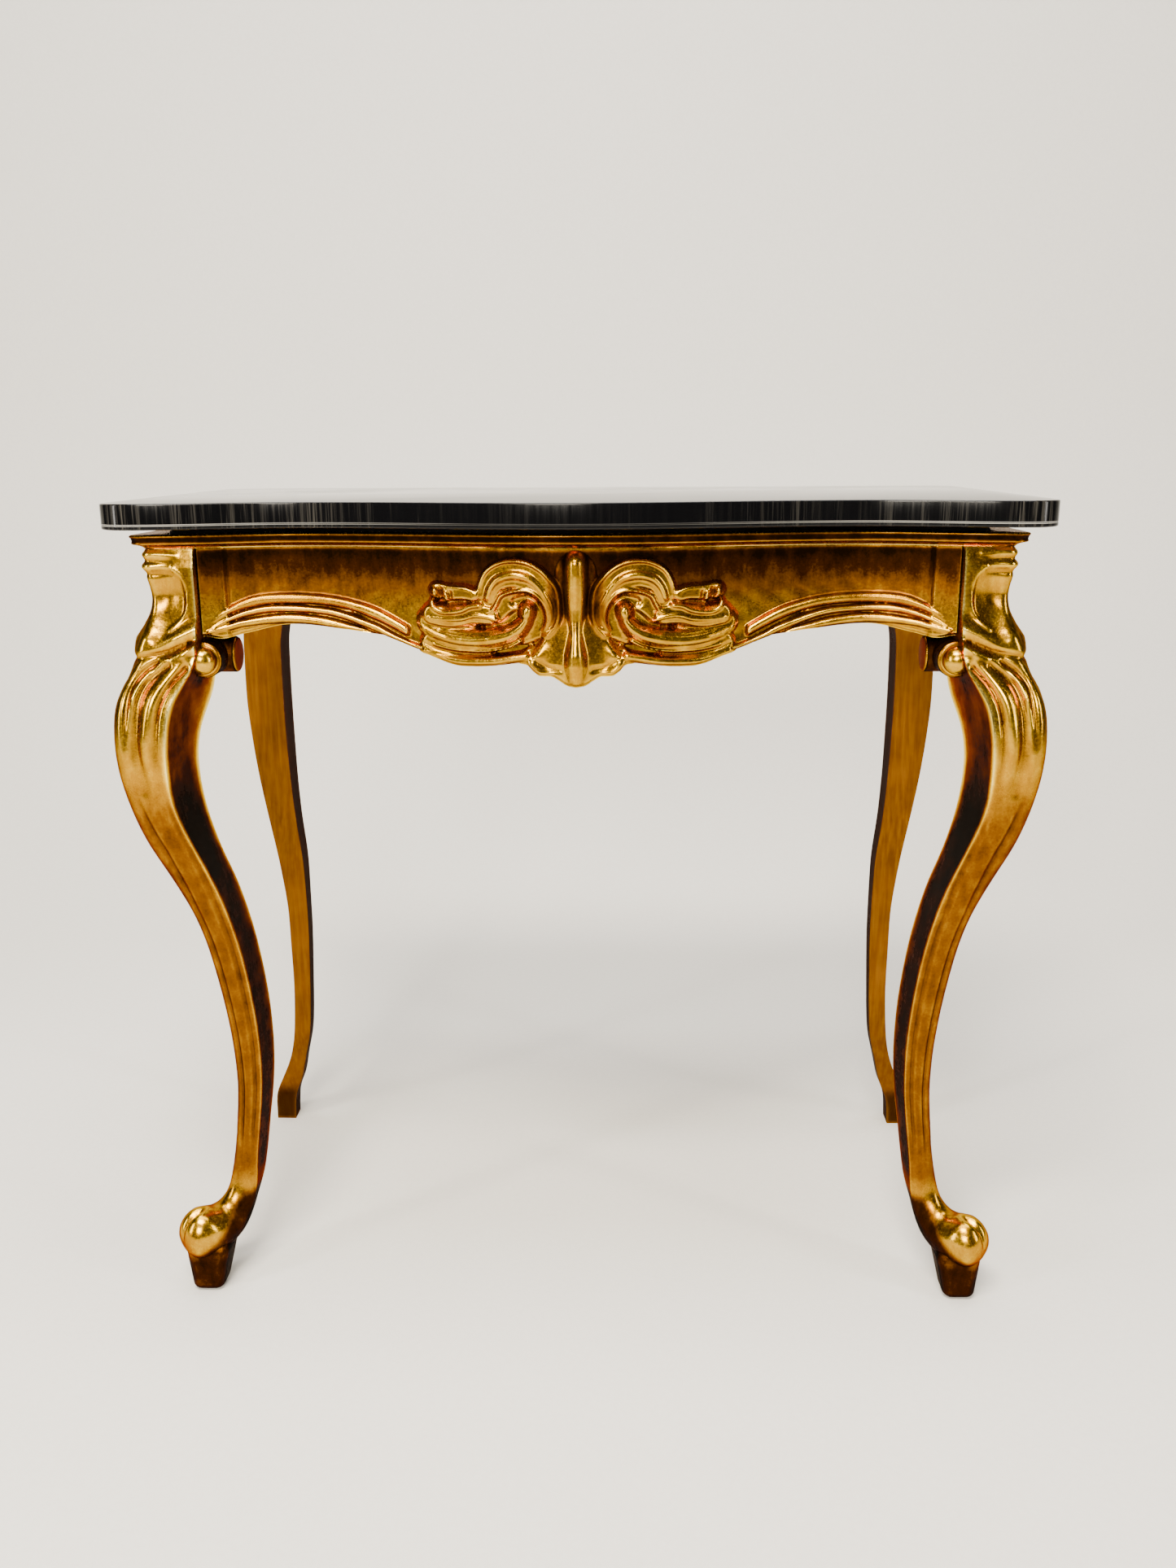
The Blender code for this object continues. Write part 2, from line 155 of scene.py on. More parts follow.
def pick_nothing():
    """Leaves edit mode and deselects everything."""
    if bpy.context.mode != "OBJECT":
        bpy.ops.object.mode_set(mode="OBJECT")
    bpy.ops.object.select_all(action="DESELECT")


def pick(piece):
    """Selects one piece alone and makes it the active one."""
    pick_nothing()
    piece.select_set(True)
    bpy.context.view_layer.objects.active = piece


@contextmanager
def editing(piece):
    """Edit mode on a piece, with all of its mesh selected."""
    pick(piece)
    bpy.ops.object.mode_set(mode="EDIT")
    bpy.ops.mesh.select_all(action="SELECT")
    yield
    bpy.ops.object.mode_set(mode="OBJECT")


@contextmanager
def editing_edges(piece, chosen):
    """Edit mode on a piece, with just the edges whose two ends pass a test selected."""
    with editing(piece):
        bpy.ops.mesh.select_mode(type="EDGE")
        bpy.ops.mesh.select_all(action="DESELECT")
    vertices = piece.data.vertices
    for edge in piece.data.edges:
        edge.select = all(chosen(vertices[v].co) for v in edge.vertices)
    bpy.ops.object.mode_set(mode="EDIT")
    yield
    bpy.ops.object.mode_set(mode="OBJECT")


def shaped_grid(name, points):
    """A grid primitive laid over rows of points (rows, columns, 3), given in millimetres."""
    rows, columns = points.shape[:2]
    pick_nothing()
    bpy.ops.mesh.primitive_grid_add(x_subdivisions=columns - 1, y_subdivisions=rows - 1, size=1)
    piece = bpy.context.object
    piece.name = piece.data.name = name
    piece.data.vertices.foreach_set("co", (points * MM).ravel())
    return piece


def close_up(piece):
    """Merges the seam of a wrapped grid, fills its open ends and turns its faces outward."""
    with editing(piece):
        bpy.ops.mesh.remove_doubles(threshold=0.000002)
    with editing(piece):
        bpy.ops.mesh.fill_holes(sides=0)
    with editing(piece):
        bpy.ops.mesh.normals_make_consistent(inside=False)


def wrapped(name, rings):
    """A closed body from rings of points that each go once round it."""
    piece = shaped_grid(name, np.concatenate([rings, rings[:, :1]], axis=1))
    close_up(piece)
    return piece


def mirror_copy(piece, name):
    """A copy on the other side of the table, with a mesh of its own."""
    copy = piece.copy()
    copy.data = piece.data.copy()
    copy.name = copy.data.name = name
    bpy.context.collection.objects.link(copy)
    copy.data.transform(Matrix.Diagonal((-1, 1, 1, 1)))
    with editing(copy):
        bpy.ops.mesh.flip_normals()
    return copy


def smooth(piece, degrees):
    """Smooth shading, but for edges sharper than so many degrees."""
    pick(piece)
    bpy.ops.object.shade_smooth_by_angle(angle=math.radians(degrees))


def note_relief(piece, passes, depth, painted_shade):
    """Stores how far each point stands proud of its surroundings, 0 in hollows and 1 on ridges.

    The surroundings are the mesh smoothed by so many passes, and depth is the height in
    millimetres that counts as a full ridge. The last argument gives, from the points and their
    normals, what is added: below 0 where shade is painted on. The gilt finishes paint shade
    where the value is low and a highlight where it is high.
    """
    mesh = piece.data
    count = len(mesh.vertices)
    spots = np.empty(count * 3)
    mesh.vertices.foreach_get("co", spots)
    spots = spots.reshape(-1, 3)
    ends = np.empty(len(mesh.edges) * 2, dtype=np.int64)
    mesh.edges.foreach_get("vertices", ends)
    first, second = ends.reshape(-1, 2).T
    degree = np.maximum(np.bincount(ends, minlength=count), 1)
    level = spots.copy()
    for _ in range(passes):
        for axis in range(3):
            total = np.bincount(first, level[second, axis], count)
            total += np.bincount(second, level[first, axis], count)
            level[:, axis] = level[:, axis] * 0.4 + 0.6 * total / degree
    normals = np.empty(count * 3)
    mesh.vertex_normals.foreach_get("vector", normals)
    normals = normals.reshape(-1, 3)
    proud = ((spots - level) * normals).sum(axis=1) / (depth * MM)
    hollows, ridges = 0.42, 0.6
    values = 0.5 + np.where(proud < 0, hollows, ridges) * proud
    values = values + painted_shade(spots / MM, normals)
    relief = mesh.attributes.new("relief", "FLOAT", "POINT")
    relief.data.foreach_set("value", np.clip(values, 0, 1))


def finish_piece(piece, nodes, finish, degrees):
    """Smooths a piece, dresses it and puts it in the frame in place of CAD nodes."""
    smooth(piece, degrees)
    piece.data.materials.clear()
    piece.data.materials.append(material_named(finish))
    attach(piece, "root")
    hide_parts(*nodes)


# ---------------------------------------------------------------- materials


def from_hex(code):
    """Linear colour from an sRGB hex code."""
    shares = [int(code[i : i + 2], 16) / 255 for i in (1, 3, 5)]
    return [s / 12.92 if s <= 0.04045 else ((s + 0.055) / 1.055) ** 2.4 for s in shares]


def per_metre(size_mm):
    """Texture scale that gives features of a size in millimetres."""
    return 1000 / size_mm


def blank(name):
    """A new material with an empty node tree, and the tree."""
    material = bpy.data.materials.new(name)
    material.use_nodes = True
    material.node_tree.nodes.clear()
    return material, material.node_tree


def add(tree, kind, settings=None, **inputs):
    """Adds a node: its settings, then each input's value, or the node or socket it is linked from."""
    node = tree.nodes.new(kind)
    for key, value in (settings or {}).items():
        if key == "stops":
            for place, colour in value[1:-1]:
                node.color_ramp.elements.new(place)
            for element, (place, colour) in zip(node.color_ramp.elements, value):
                element.position, element.color = place, (*from_hex(colour), 1)
        else:
            setattr(node, key, value)
    for key, value in inputs.items():
        if key[1:].isdigit():
            socket = node.inputs[int(key[1:])]
        else:
            socket = next(s for s in node.inputs if s.name == key.replace("_", " ") and s.enabled)
        if isinstance(value, bpy.types.Node):
            value = next(s for s in value.outputs if s.enabled)
        if isinstance(value, bpy.types.NodeSocket):
            tree.links.new(value, socket)
        elif socket.type == "RGBA":
            socket.default_value = (*(from_hex(value) if isinstance(value, str) else value), 1)[:4]
        else:
            socket.default_value = value
    return node


COLOUR_MIX = {"data_type": "RGBA"}
TIMES = {"operation": "MULTIPLY"}
PLUS = {"operation": "ADD"}


def burnished_gold_leaf(tint):
    """Gold leaf over red clay, burnished, with a pale painted highlight on the ridges and painted umber shade
    in the hollows.

    The leaf is broken by grain 0.2 mm across and by patches of about 1.5 mm where it is
    thinner. Real leaf is finer, and these are as coarse as they need to be to show. The
    piece's "relief" attribute says where the ridges, the hollows and the faces with painted shade are.
    """
    material, tree = blank("burnished_gold_leaf")
    where = add(tree, "ShaderNodeTexCoord").outputs["Object"]
    relief = add(tree, "ShaderNodeAttribute", {"attribute_name": "relief"}).outputs["Fac"]
    patches = add(tree, "ShaderNodeTexNoise", Vector=where, Scale=per_metre(1.5), Detail=4, Roughness=0.6)
    grain = add(tree, "ShaderNodeTexNoise", Vector=where, Scale=per_metre(0.2), Detail=3, Roughness=0.7)
    specks = add(tree, "ShaderNodeTexVoronoi", Vector=where, Scale=per_metre(0.55))

    # Rubbing leaves upright streaks 0.8 mm wide.
    drawn = add(tree, "ShaderNodeMapping", Vector=where, Scale=(1, 1, 0.2))
    rubbed = add(tree, "ShaderNodeTexNoise", Vector=drawn, Scale=per_metre(0.8), Detail=3, Roughness=0.6)
    streaks = add(
        tree, "ShaderNodeMapRange", Value=rubbed, From_Min=0.35, From_Max=0.65, To_Min=-0.03, To_Max=0.03,
    )
    cloudy = add(
        tree, "ShaderNodeMapRange", Value=patches, From_Min=0.3, From_Max=0.7, To_Min=-0.05, To_Max=0.05,
    )
    grainy = add(
        tree, "ShaderNodeMapRange", Value=grain, From_Min=0.3, From_Max=0.7, To_Min=-0.03, To_Max=0.03,
    )
    # Painted highlight on the ridges and painted shade in the hollows and on shaded faces, from the relief
    # attribute; the patches, grain and rubbed streaks are the leaf's own.
    painted_light_and_wear = add(tree, "ShaderNodeMath", PLUS, _0=relief, _1=cloudy)
    painted_light_and_wear = add(tree, "ShaderNodeMath", PLUS, _0=painted_light_and_wear, _1=grainy)
    painted_light_and_wear = add(tree, "ShaderNodeMath", PLUS, _0=painted_light_and_wear, _1=streaks)
    # Painted shade: the darkest stops colour the hollows and the shaded faces. Painted highlight: the palest
    # stops colour the ridges.
    stops = (
        (0.04, "#0E0500"),
        (0.16, "#2E1402"),
        (0.32, "#704204"),
        (0.50, "#A8780A"),
        (0.68, "#DCB02C"),
        (0.90, "#FFE680"),
    )
    ladder = add(tree, "ShaderNodeValToRGB", {"stops": stops}, Fac=painted_light_and_wear)
    body = add(tree, "ShaderNodeMix", {**COLOUR_MIX, "blend_type": "MULTIPLY"}, _0=1.0, A=ladder, B=tint)
    # Here and there on the ridges the clay warms the leaf.
    thin = add(tree, "ShaderNodeMapRange", Value=patches, From_Min=0.58, From_Max=0.7, To_Max=0.16)
    ridge = add(tree, "ShaderNodeMapRange", Value=relief, From_Min=0.5, From_Max=0.7)
    thin = add(tree, "ShaderNodeMath", TIMES, _0=thin, _1=ridge)
    warmed = add(tree, "ShaderNodeMix", COLOUR_MIX, _0=thin, A=body, B="#E0A468")
    # Pinholes in the leaf show the clay.
    holes = add(tree, "ShaderNodeMapRange", Value=specks, From_Max=0.12, To_Min=1, To_Max=0)
    bare = add(tree, "ShaderNodeMapRange", Value=patches, From_Min=0.52, From_Max=0.64, To_Max=0.7)
    holes = add(tree, "ShaderNodeMath", TIMES, _0=holes, _1=bare)
    colour = add(tree, "ShaderNodeMix", COLOUR_MIX, _0=holes, A=warmed, B="#4A2006")

    # Where shade is painted, the leaf is also made duller and less mirror-like, more clay than metal.
    metal = add(tree, "ShaderNodeMapRange", Value=relief, From_Min=0.08, From_Max=0.36, To_Min=0.85, To_Max=1)
    dull = add(tree, "ShaderNodeMapRange", Value=relief, From_Min=0.05, From_Max=0.5, To_Min=0.3, To_Max=0.02)
    rough = add(tree, "ShaderNodeMapRange", Value=grain, From_Min=0.3, From_Max=0.7, To_Min=0.15, To_Max=0.27)
    rough = add(tree, "ShaderNodeMath", PLUS, _0=rough, _1=dull)
    leaf = add(tree, "ShaderNodeBump", Height=patches, Strength=0.7, Distance=0.03 * MM)
    skin = add(tree, "ShaderNodeBump", Height=grain, Strength=0.6, Distance=0.01 * MM, Normal=leaf)
    gold = add(
        tree, "ShaderNodeBsdfPrincipled", Base_Color=colour, Metallic=metal, Roughness=rough, Normal=skin,
        Specular_IOR_Level=0.3, Specular_Tint="#A07C1C",
    )
    add(tree, "ShaderNodeOutputMaterial", Surface=gold)
    return material


def satin_gold_paint(tint):
    """Bronze-powder paint brushed on: satin, orange-brown, with faint strokes.

    The strokes are 0.35 mm wide, coarser than a real brush leaves, so that they show.
    """
    material, tree = blank("satin_gold_paint")
    where = add(tree, "ShaderNodeTexCoord").outputs["Object"]
    relief = add(tree, "ShaderNodeAttribute", {"attribute_name": "relief"}).outputs["Fac"]
    drawn = add(tree, "ShaderNodeMapping", Vector=where, Scale=(1, 1, 0.06))
    strokes = add(tree, "ShaderNodeTexNoise", Vector=drawn, Scale=per_metre(0.35), Detail=4, Roughness=0.6)
    patches = add(tree, "ShaderNodeTexNoise", Vector=where, Scale=per_metre(3.5), Detail=3, Roughness=0.6)
    base = add(tree, "ShaderNodeMix", COLOUR_MIX, _0=patches, A="#4E2A02", B=tint)
    lit = add(tree, "ShaderNodeMapRange", Value=strokes, From_Min=0.4, From_Max=0.75, To_Max=0.25)
    base = add(tree, "ShaderNodeMix", COLOUR_MIX, _0=lit, A=base, B="#B8801C")
    # Painted shade: where the relief attribute is low, on faces turned to the table's middle and low on the
    # feet, the paint is darkened to umber.
    shade = add(tree, "ShaderNodeMapRange", Value=relief, From_Min=0.1, From_Max=0.45, To_Min=0.85, To_Max=0)
    colour = add(tree, "ShaderNodeMix", COLOUR_MIX, _0=shade, A=base, B="#240E00")
    rough = add(
        tree, "ShaderNodeMapRange", Value=strokes, From_Min=0.3, From_Max=0.7, To_Min=0.4, To_Max=0.55,
    )
    skin = add(tree, "ShaderNodeBump", Height=strokes, Strength=0.5, Distance=0.01 * MM)
    paint = add(
        tree, "ShaderNodeBsdfPrincipled", Base_Color=colour, Roughness=rough, Metallic=0.9, Normal=skin,
        Specular_IOR_Level=0.2, Specular_Tint="#6A4010",
    )
    add(tree, "ShaderNodeOutputMaterial", Surface=paint)
    return material


def black_cast_acrylic(tint):
    """Cast acrylic sheet, black all through: a near-mirror face with hairline scratches.

    Real scratches are too fine to show, so they are drawn about 0.2 mm wide.
    """
    material, tree = blank("black_cast_acrylic")
    where = add(tree, "ShaderNodeTexCoord").outputs["Object"]
    haze = add(tree, "ShaderNodeTexNoise", Vector=where, Scale=per_metre(9), Detail=3, Roughness=0.6)
    turned = add(tree, "ShaderNodeMapping", Vector=where, Scale=(0.06, 1, 1), Rotation=(0, 0, 0.35))
    hairs = add(tree, "ShaderNodeTexNoise", Vector=turned, Scale=per_metre(0.22), Detail=2, Roughness=0.5)
    scratch = add(tree, "ShaderNodeMapRange", Value=hairs, From_Min=0.68, From_Max=0.74, To_Max=0.15)
    colour = add(tree, "ShaderNodeMix", COLOUR_MIX, _0=scratch, A=tint, B="#3A3A3C")
    rough = add(tree, "ShaderNodeMapRange", Value=haze, From_Min=0.35, From_Max=0.7, To_Min=0.05, To_Max=0.12)
    rough = add(tree, "ShaderNodeMath", PLUS, _0=rough, _1=scratch)
    skin = add(tree, "ShaderNodeBump", Height=hairs, Strength=0.15, Distance=0.002 * MM)
    gloss = add(tree, "ShaderNodeBsdfPrincipled", Base_Color=colour, Roughness=rough, IOR=1.49, Normal=skin)
    add(tree, "ShaderNodeOutputMaterial", Surface=gloss)
    return material


def laser_cut_acrylic_edge(tint):
    """Edge left by a laser: upright striations about 0.3 mm apart, with a painted sheen that makes them
    greyer towards the ends.
    """
    material, tree = blank("laser_cut_acrylic_edge")
    where = add(tree, "ShaderNodeTexCoord").outputs["Object"]
    place = add(tree, "ShaderNodeSeparateXYZ", Vector=where)
    upright = add(tree, "ShaderNodeMapping", Vector=where, Scale=(1, 1, 0.02))
    lines = add(tree, "ShaderNodeTexNoise", Vector=upright, Scale=per_metre(0.3), Detail=3, Roughness=0.75)
    bands = add(tree, "ShaderNodeTexNoise", Vector=upright, Scale=per_metre(2.6), Detail=3, Roughness=0.6)
    lit = add(tree, "ShaderNodeMapRange", Value=lines, From_Min=0.5, From_Max=0.76)
    some = add(tree, "ShaderNodeMapRange", Value=bands, From_Min=0.42, From_Max=0.66, To_Min=0.1)
    side = add(tree, "ShaderNodeMath", {"operation": "ABSOLUTE"}, _0=place.outputs["X"])
    # Painted sheen: the striations are lightened towards the ends of the edge.
    ends = add(
        tree, "ShaderNodeMapRange", Value=side, From_Min=8 * MM, From_Max=34 * MM, To_Min=0.07,
        To_Max=0.9,
    )
    lit = add(tree, "ShaderNodeMath", TIMES, _0=lit, _1=some)
    lit = add(tree, "ShaderNodeMath", TIMES, _0=lit, _1=ends)
    colour = add(tree, "ShaderNodeMix", COLOUR_MIX, _0=lit, A=tint, B="#5A5750")
    # Painted highlight: the step a third of a millimetre above the underside is drawn light grey, more so
    # towards the ends.
    rise = add(tree, "ShaderNodeMath", PLUS, _0=place.outputs["Z"], _1=-(SLAB_LOW[2] + LINE_RISE) * MM)
    rise = add(tree, "ShaderNodeMath", {"operation": "ABSOLUTE"}, _0=rise)
    step = add(
        tree, "ShaderNodeMapRange", Value=rise, From_Min=0.03 * MM, From_Max=0.09 * MM, To_Min=1,
        To_Max=0,
    )
    glint = add(tree, "ShaderNodeMapRange", Value=ends, From_Min=0.07, From_Max=0.9, To_Min=0.1, To_Max=0.9)
    step = add(tree, "ShaderNodeMath", TIMES, _0=step, _1=glint)
    colour = add(tree, "ShaderNodeMix", COLOUR_MIX, _0=step, A=colour, B="#B4B2AC")
    rough = add(tree, "ShaderNodeMapRange", Value=lines, From_Min=0.3, From_Max=0.7, To_Min=0.1, To_Max=0.2)
    skin = add(tree, "ShaderNodeBump", Height=lines, Strength=0.2, Distance=0.015 * MM)
    edge = add(
        tree, "ShaderNodeBsdfPrincipled", Base_Color=colour, Roughness=rough, IOR=1.49, Normal=skin,
        Specular_IOR_Level=0.15,
    )
    add(tree, "ShaderNodeOutputMaterial", Surface=edge)
    return material


def black_stained_board(tint):
    """Thin plywood stained black: matt, with the grain just showing."""
    material, tree = blank("black_stained_board")
    where = add(tree, "ShaderNodeTexCoord").outputs["Object"]
    drawn = add(tree, "ShaderNodeMapping", Vector=where, Scale=(0.08, 1, 1))
    grain = add(tree, "ShaderNodeTexNoise", Vector=drawn, Scale=per_metre(0.4), Detail=4, Roughness=0.6)
    colour = add(tree, "ShaderNodeMix", COLOUR_MIX, _0=grain, A=tint, B="#1A1512")
    skin = add(tree, "ShaderNodeBump", Height=grain, Strength=0.6, Distance=0.02 * MM)
    board = add(tree, "ShaderNodeBsdfPrincipled", Base_Color=colour, Roughness=0.75, Normal=skin)
    add(tree, "ShaderNodeOutputMaterial", Surface=board)
    return material


def bare_basswood(tint):
    """Basswood straight from the plane: pale and close-grained, grain lines half a millimetre apart."""
    material, tree = blank("bare_basswood")
    where = add(tree, "ShaderNodeTexCoord").outputs["Object"]
    drawn = add(tree, "ShaderNodeMapping", Vector=where, Scale=(1, 0.12, 1))
    grain = add(tree, "ShaderNodeTexNoise", Vector=drawn, Scale=per_metre(0.5), Detail=5, Roughness=0.65)
    lines = add(tree, "ShaderNodeMapRange", Value=grain, From_Min=0.3, From_Max=0.7)
    colour = add(tree, "ShaderNodeMix", COLOUR_MIX, _0=lines, A="#6E4E2C", B=tint)
    skin = add(tree, "ShaderNodeBump", Height=grain, Strength=0.5, Distance=0.02 * MM)
    wood = add(tree, "ShaderNodeBsdfPrincipled", Base_Color=colour, Roughness=0.7, Normal=skin)
    add(tree, "ShaderNodeOutputMaterial", Surface=wood)
    return material


def studio_paper(tint):
    """Matt backdrop paper, pale grey, with a tooth 0.6 mm across, coarse enough to show."""
    material, tree = blank("studio_paper")
    where = add(tree, "ShaderNodeTexCoord").outputs["Object"]
    tooth = add(tree, "ShaderNodeTexNoise", Vector=where, Scale=per_metre(0.6), Detail=3, Roughness=0.6)
    fleck = add(tree, "ShaderNodeMapRange", Value=tooth, From_Min=0.3, From_Max=0.7, To_Max=0.25)
    colour = add(tree, "ShaderNodeMix", COLOUR_MIX, _0=fleck, A=tint, B="#CFCBC4")
    skin = add(tree, "ShaderNodeBump", Height=tooth, Strength=0.2, Distance=0.02 * MM)
    paper = add(tree, "ShaderNodeBsdfPrincipled", Base_Color=colour, Roughness=0.85, Normal=skin)
    add(tree, "ShaderNodeOutputMaterial", Surface=paper)
    return material


FINISHES = {
    "burnished_gold_leaf": (burnished_gold_leaf, "gold_leaf"),
    "satin_gold_paint": (satin_gold_paint, "gold_paint"),
    "black_cast_acrylic": (black_cast_acrylic, "slab_face"),
    "laser_cut_acrylic_edge": (laser_cut_acrylic_edge, "slab_edge"),
    "black_stained_board": (black_stained_board, "board"),
    "bare_basswood": (bare_basswood, "bare_wood"),
    "studio_paper": (studio_paper, "paper"),
}


def material_named(name):
    """The material of a finish, made when it is first asked for."""
    make, colour = FINISHES[name]
    return bpy.data.materials.get(name) or make(getattr(bpy.context.scene.console_colours, colour))


# ---------------------------------------------------------------- carving helpers


def nearest(across, up, line):
    """How far each place is from a line of points, and what share of the line lies before it."""
    steps = np.hypot(*np.diff(line, axis=0).T)
    done = np.concatenate([[0], np.cumsum(steps)])
    best = np.full(across.shape, 1e9)
    share = np.zeros(across.shape)
    for (a, b), (c, d), length, before in zip(line, line[1:], steps, done):
        t = np.clip(((across - a) * (c - a) + (up - b) * (d - b)) / length**2, 0, 1)
        away = np.hypot(across - a - t * (c - a), up - b - t * (d - b))
        closer = away < best
        best = np.where(closer, away, best)
        share = np.where(closer, (before + t * length) / done[-1], share)
    return best, share


class Carving:
    """Heights of a carved face over a grid of places, built up and cut back stroke by stroke.

    Each stroke follows a smooth line; its widths (half the stroke) and heights are spread
    evenly along the line. Everything is in millimetres.
    """

    def __init__(self, across, up, ground):
        self.across, self.up = across, up
        self.height = np.zeros(across.shape) + ground

    def _stroke(self, points, widths, heights):
        away, share = nearest(self.across, self.up, spline(points, 5))
        marks_w = np.linspace(0, 1, len(widths))
        marks_h = np.linspace(0, 1, len(heights))
        return away / np.interp(share, marks_w, widths), np.interp(share, marks_h, heights)

    def roll(self, points, widths, heights, fullness=0.8):
        """A rounded moulding that covers what is lower."""
        t, height = self._stroke(points, widths, heights)
        rise = np.where(t < 1, height * np.clip(1 - t * t, 0, 1) ** fullness, -9)
        self.height = np.maximum(self.height, rise)

    def shelf(self, points, widths, heights):
        """A flat-topped band with soft shoulders that covers what is lower."""
        t, height = self._stroke(points, widths, heights)
        rise = np.where(t < 1.15, height * (1 - smooth_step(0.75, 1.15, t)), -9)
        self.height = np.maximum(self.height, rise)

    def swell(self, points, widths, heights):
        """A soft rise, or a soft cut where the height is negative, added to what is there."""
        t, height = self._stroke(points, widths, heights)
        self.height = self.height + height * np.exp(-t * t)

    def soften(self, passes):
        for _ in range(passes):
            padded = np.pad(self.height, 1, mode="edge")
            beside = padded[:-2, 1:-1] + padded[2:, 1:-1] + padded[1:-1, :-2] + padded[1:-1, 2:]
            self.height = 0.5 * self.height + 0.125 * beside


# ---------------------------------------------------------------- the legs

# Height, reach of the outer and inner corners, and reach of the sharp edge between the
# carved face and the plain inner face. Reach is measured from the table's middle line, and
# a leg's square top is its head.
FRONT_SHAFT = (
    (66.4, 34.10, 30.20, 30.20),
    (65.9, 34.36, 30.20, 30.20),
    (64.6, 34.30, 30.20, 30.20),
    (62.9, 33.90, 30.20, 30.20),
    (61.6, 34.00, 30.20, 30.20),
    (60.4, 34.50, 30.20, 30.20),
    (59.1, 35.00, 30.20, 30.22),
    (57.9, 35.15, 30.20, 30.30),
    (56.6, 35.60, 30.22, 30.75),
    (55.4, 36.30, 30.35, 31.60),
    (54.2, 36.65, 30.60, 32.25),
    (52.9, 36.82, 31.10, 32.50),
    (50.9, 36.90, 31.65, 32.72),
    (48.9, 36.80, 31.82, 32.78),
    (46.8, 36.50, 31.74, 32.78),
    (44.6, 36.05, 31.50, 32.40),
    (42.4, 35.45, 31.10, 31.75),
    (40.2, 34.65, 30.60, 31.10),
    (38.1, 33.90, 30.02, 30.55),
    (35.4, 33.05, 29.45, 30.02),
    (32.6, 32.42, 28.98, 29.55),
    (29.9, 32.00, 28.65, 29.20),
    (27.2, 31.65, 28.40, 28.95),
    (24.6, 31.38, 28.25, 28.78),
    (21.8, 31.18, 28.20, 28.70),
    (18.7, 31.10, 28.32, 28.78),
    (16.4, 31.20, 28.55, 28.98),
    (14.1, 31.40, 28.85, 29.25),
)
# The foot turns outward, so its rings tilt: reach and height of the outer side, reach and
# height of the inner side, half the breadth, and how far the section is rounded off.
FRONT_FOOT = (
    (31.66, 11.8, 29.16, 11.5, 1.45, 0.10),
    (31.95, 9.8, 29.50, 9.3, 1.45, 0.25),
    (32.25, 8.5, 29.95, 7.6, 1.50, 0.45),
    (32.70, 7.75, 30.50, 5.9, 1.65, 0.65),
    (33.20, 7.50, 31.25, 4.5, 1.85, 0.80),
    (33.75, 7.68, 32.20, 3.6, 2.05, 0.90),
    (34.30, 7.80, 33.20, 3.2, 2.15, 1.00),
    (34.85, 7.55, 34.10, 3.1, 2.05, 1.00),
    (35.25, 7.00, 34.85, 3.4, 1.75, 1.00),
    (35.48, 6.35, 35.25, 4.0, 1.25, 1.00),
    (35.56, 5.80, 35.45, 4.7, 0.60, 1.00),
)
REAR_SHAFT = (
    (66.4, 34.10, 30.20, 30.20),
    (62.0, 34.10, 30.20, 30.20),
    (58.0, 34.50, 30.50, 30.50),
    (54.9, 34.95, 31.20, 31.20),
    (49.4, 35.05, 31.30, 31.30),
    (45.1, 34.75, 31.20, 31.20),
    (40.7, 34.20, 31.00, 31.00),
    (36.4, 33.40, 30.60, 30.60),
    (31.3, 32.35, 29.90, 29.90),
    (25.4, 31.75, 29.75, 29.75),
    (19.2, 31.75, 29.95, 29.95),
    (12.6, 32.15, 30.40, 30.40),
    (8.9, 32.95, 31.30, 31.30),
    (5.5, 34.40, 32.20, 32.20),
    (2.9, 35.50, 33.30, 33.30),
    (0.0, 35.60, 33.50, 33.50),
)
REACH_TO_Y = 18.6
INNER_STEPS = 9
FACE_STEPS = 38


def half_ring(breadth, corner, rounded):
    """Half a section, from the inner corner round to the outer one, one row for each ring.

    Gives distance in from the outer corner, distance to the side and how far the outline has
    turned round the outer corner. The length from inner to outer corner is 1, and breadth and
    corner are shares of it.
    """
    inner = np.linspace(0, 1, INNER_STEPS, endpoint=False)[:, None]
    face = np.linspace(1, 0, FACE_STEPS)[:, None]
    edge = breadth * ROOT_2
    along = face * edge
    turn = np.where(along < corner, (1 - along / np.maximum(corner, 1e-9)) * math.pi / 4, 0)
    arc_a = corner * (1 - np.sin(turn))
    arc_b = corner * (1 - np.cos(turn))
    run = np.where(along < corner, arc_a, along)
    fall = np.where(along < corner, arc_b, 0)
    deep = np.vstack([1 + (breadth - 1) * inner, (run + fall) / ROOT_2])
    wide = np.vstack([breadth * inner, (run - fall) / ROOT_2])
    angle = np.linspace(math.pi, 0, INNER_STEPS + FACE_STEPS)[:, None]
    round_deep = (1 - np.cos(angle)) / 2
    round_wide = breadth * np.sin(angle)
    deep = deep * (1 - rounded) + round_deep * rounded
    wide = wide * (1 - rounded) + round_wide * rounded
    lean = np.vstack([np.zeros_like(inner * breadth), turn])
    return deep.T, wide.T, lean.T


def eased(values, reach):
    """Values smoothed along a run, over about so many steps, with the ends held."""
    steps = np.arange(-int(3 * reach), int(3 * reach) + 1)
    weight = np.exp(-((steps / reach) ** 2))
    pad = len(steps) // 2
    first = 2 * values[0] - values[pad:0:-1]
    last = 2 * values[-1] - values[-2 : -pad - 2 : -1]
    return np.convolve(np.concatenate([first, values, last]), weight / weight.sum(), "valid")


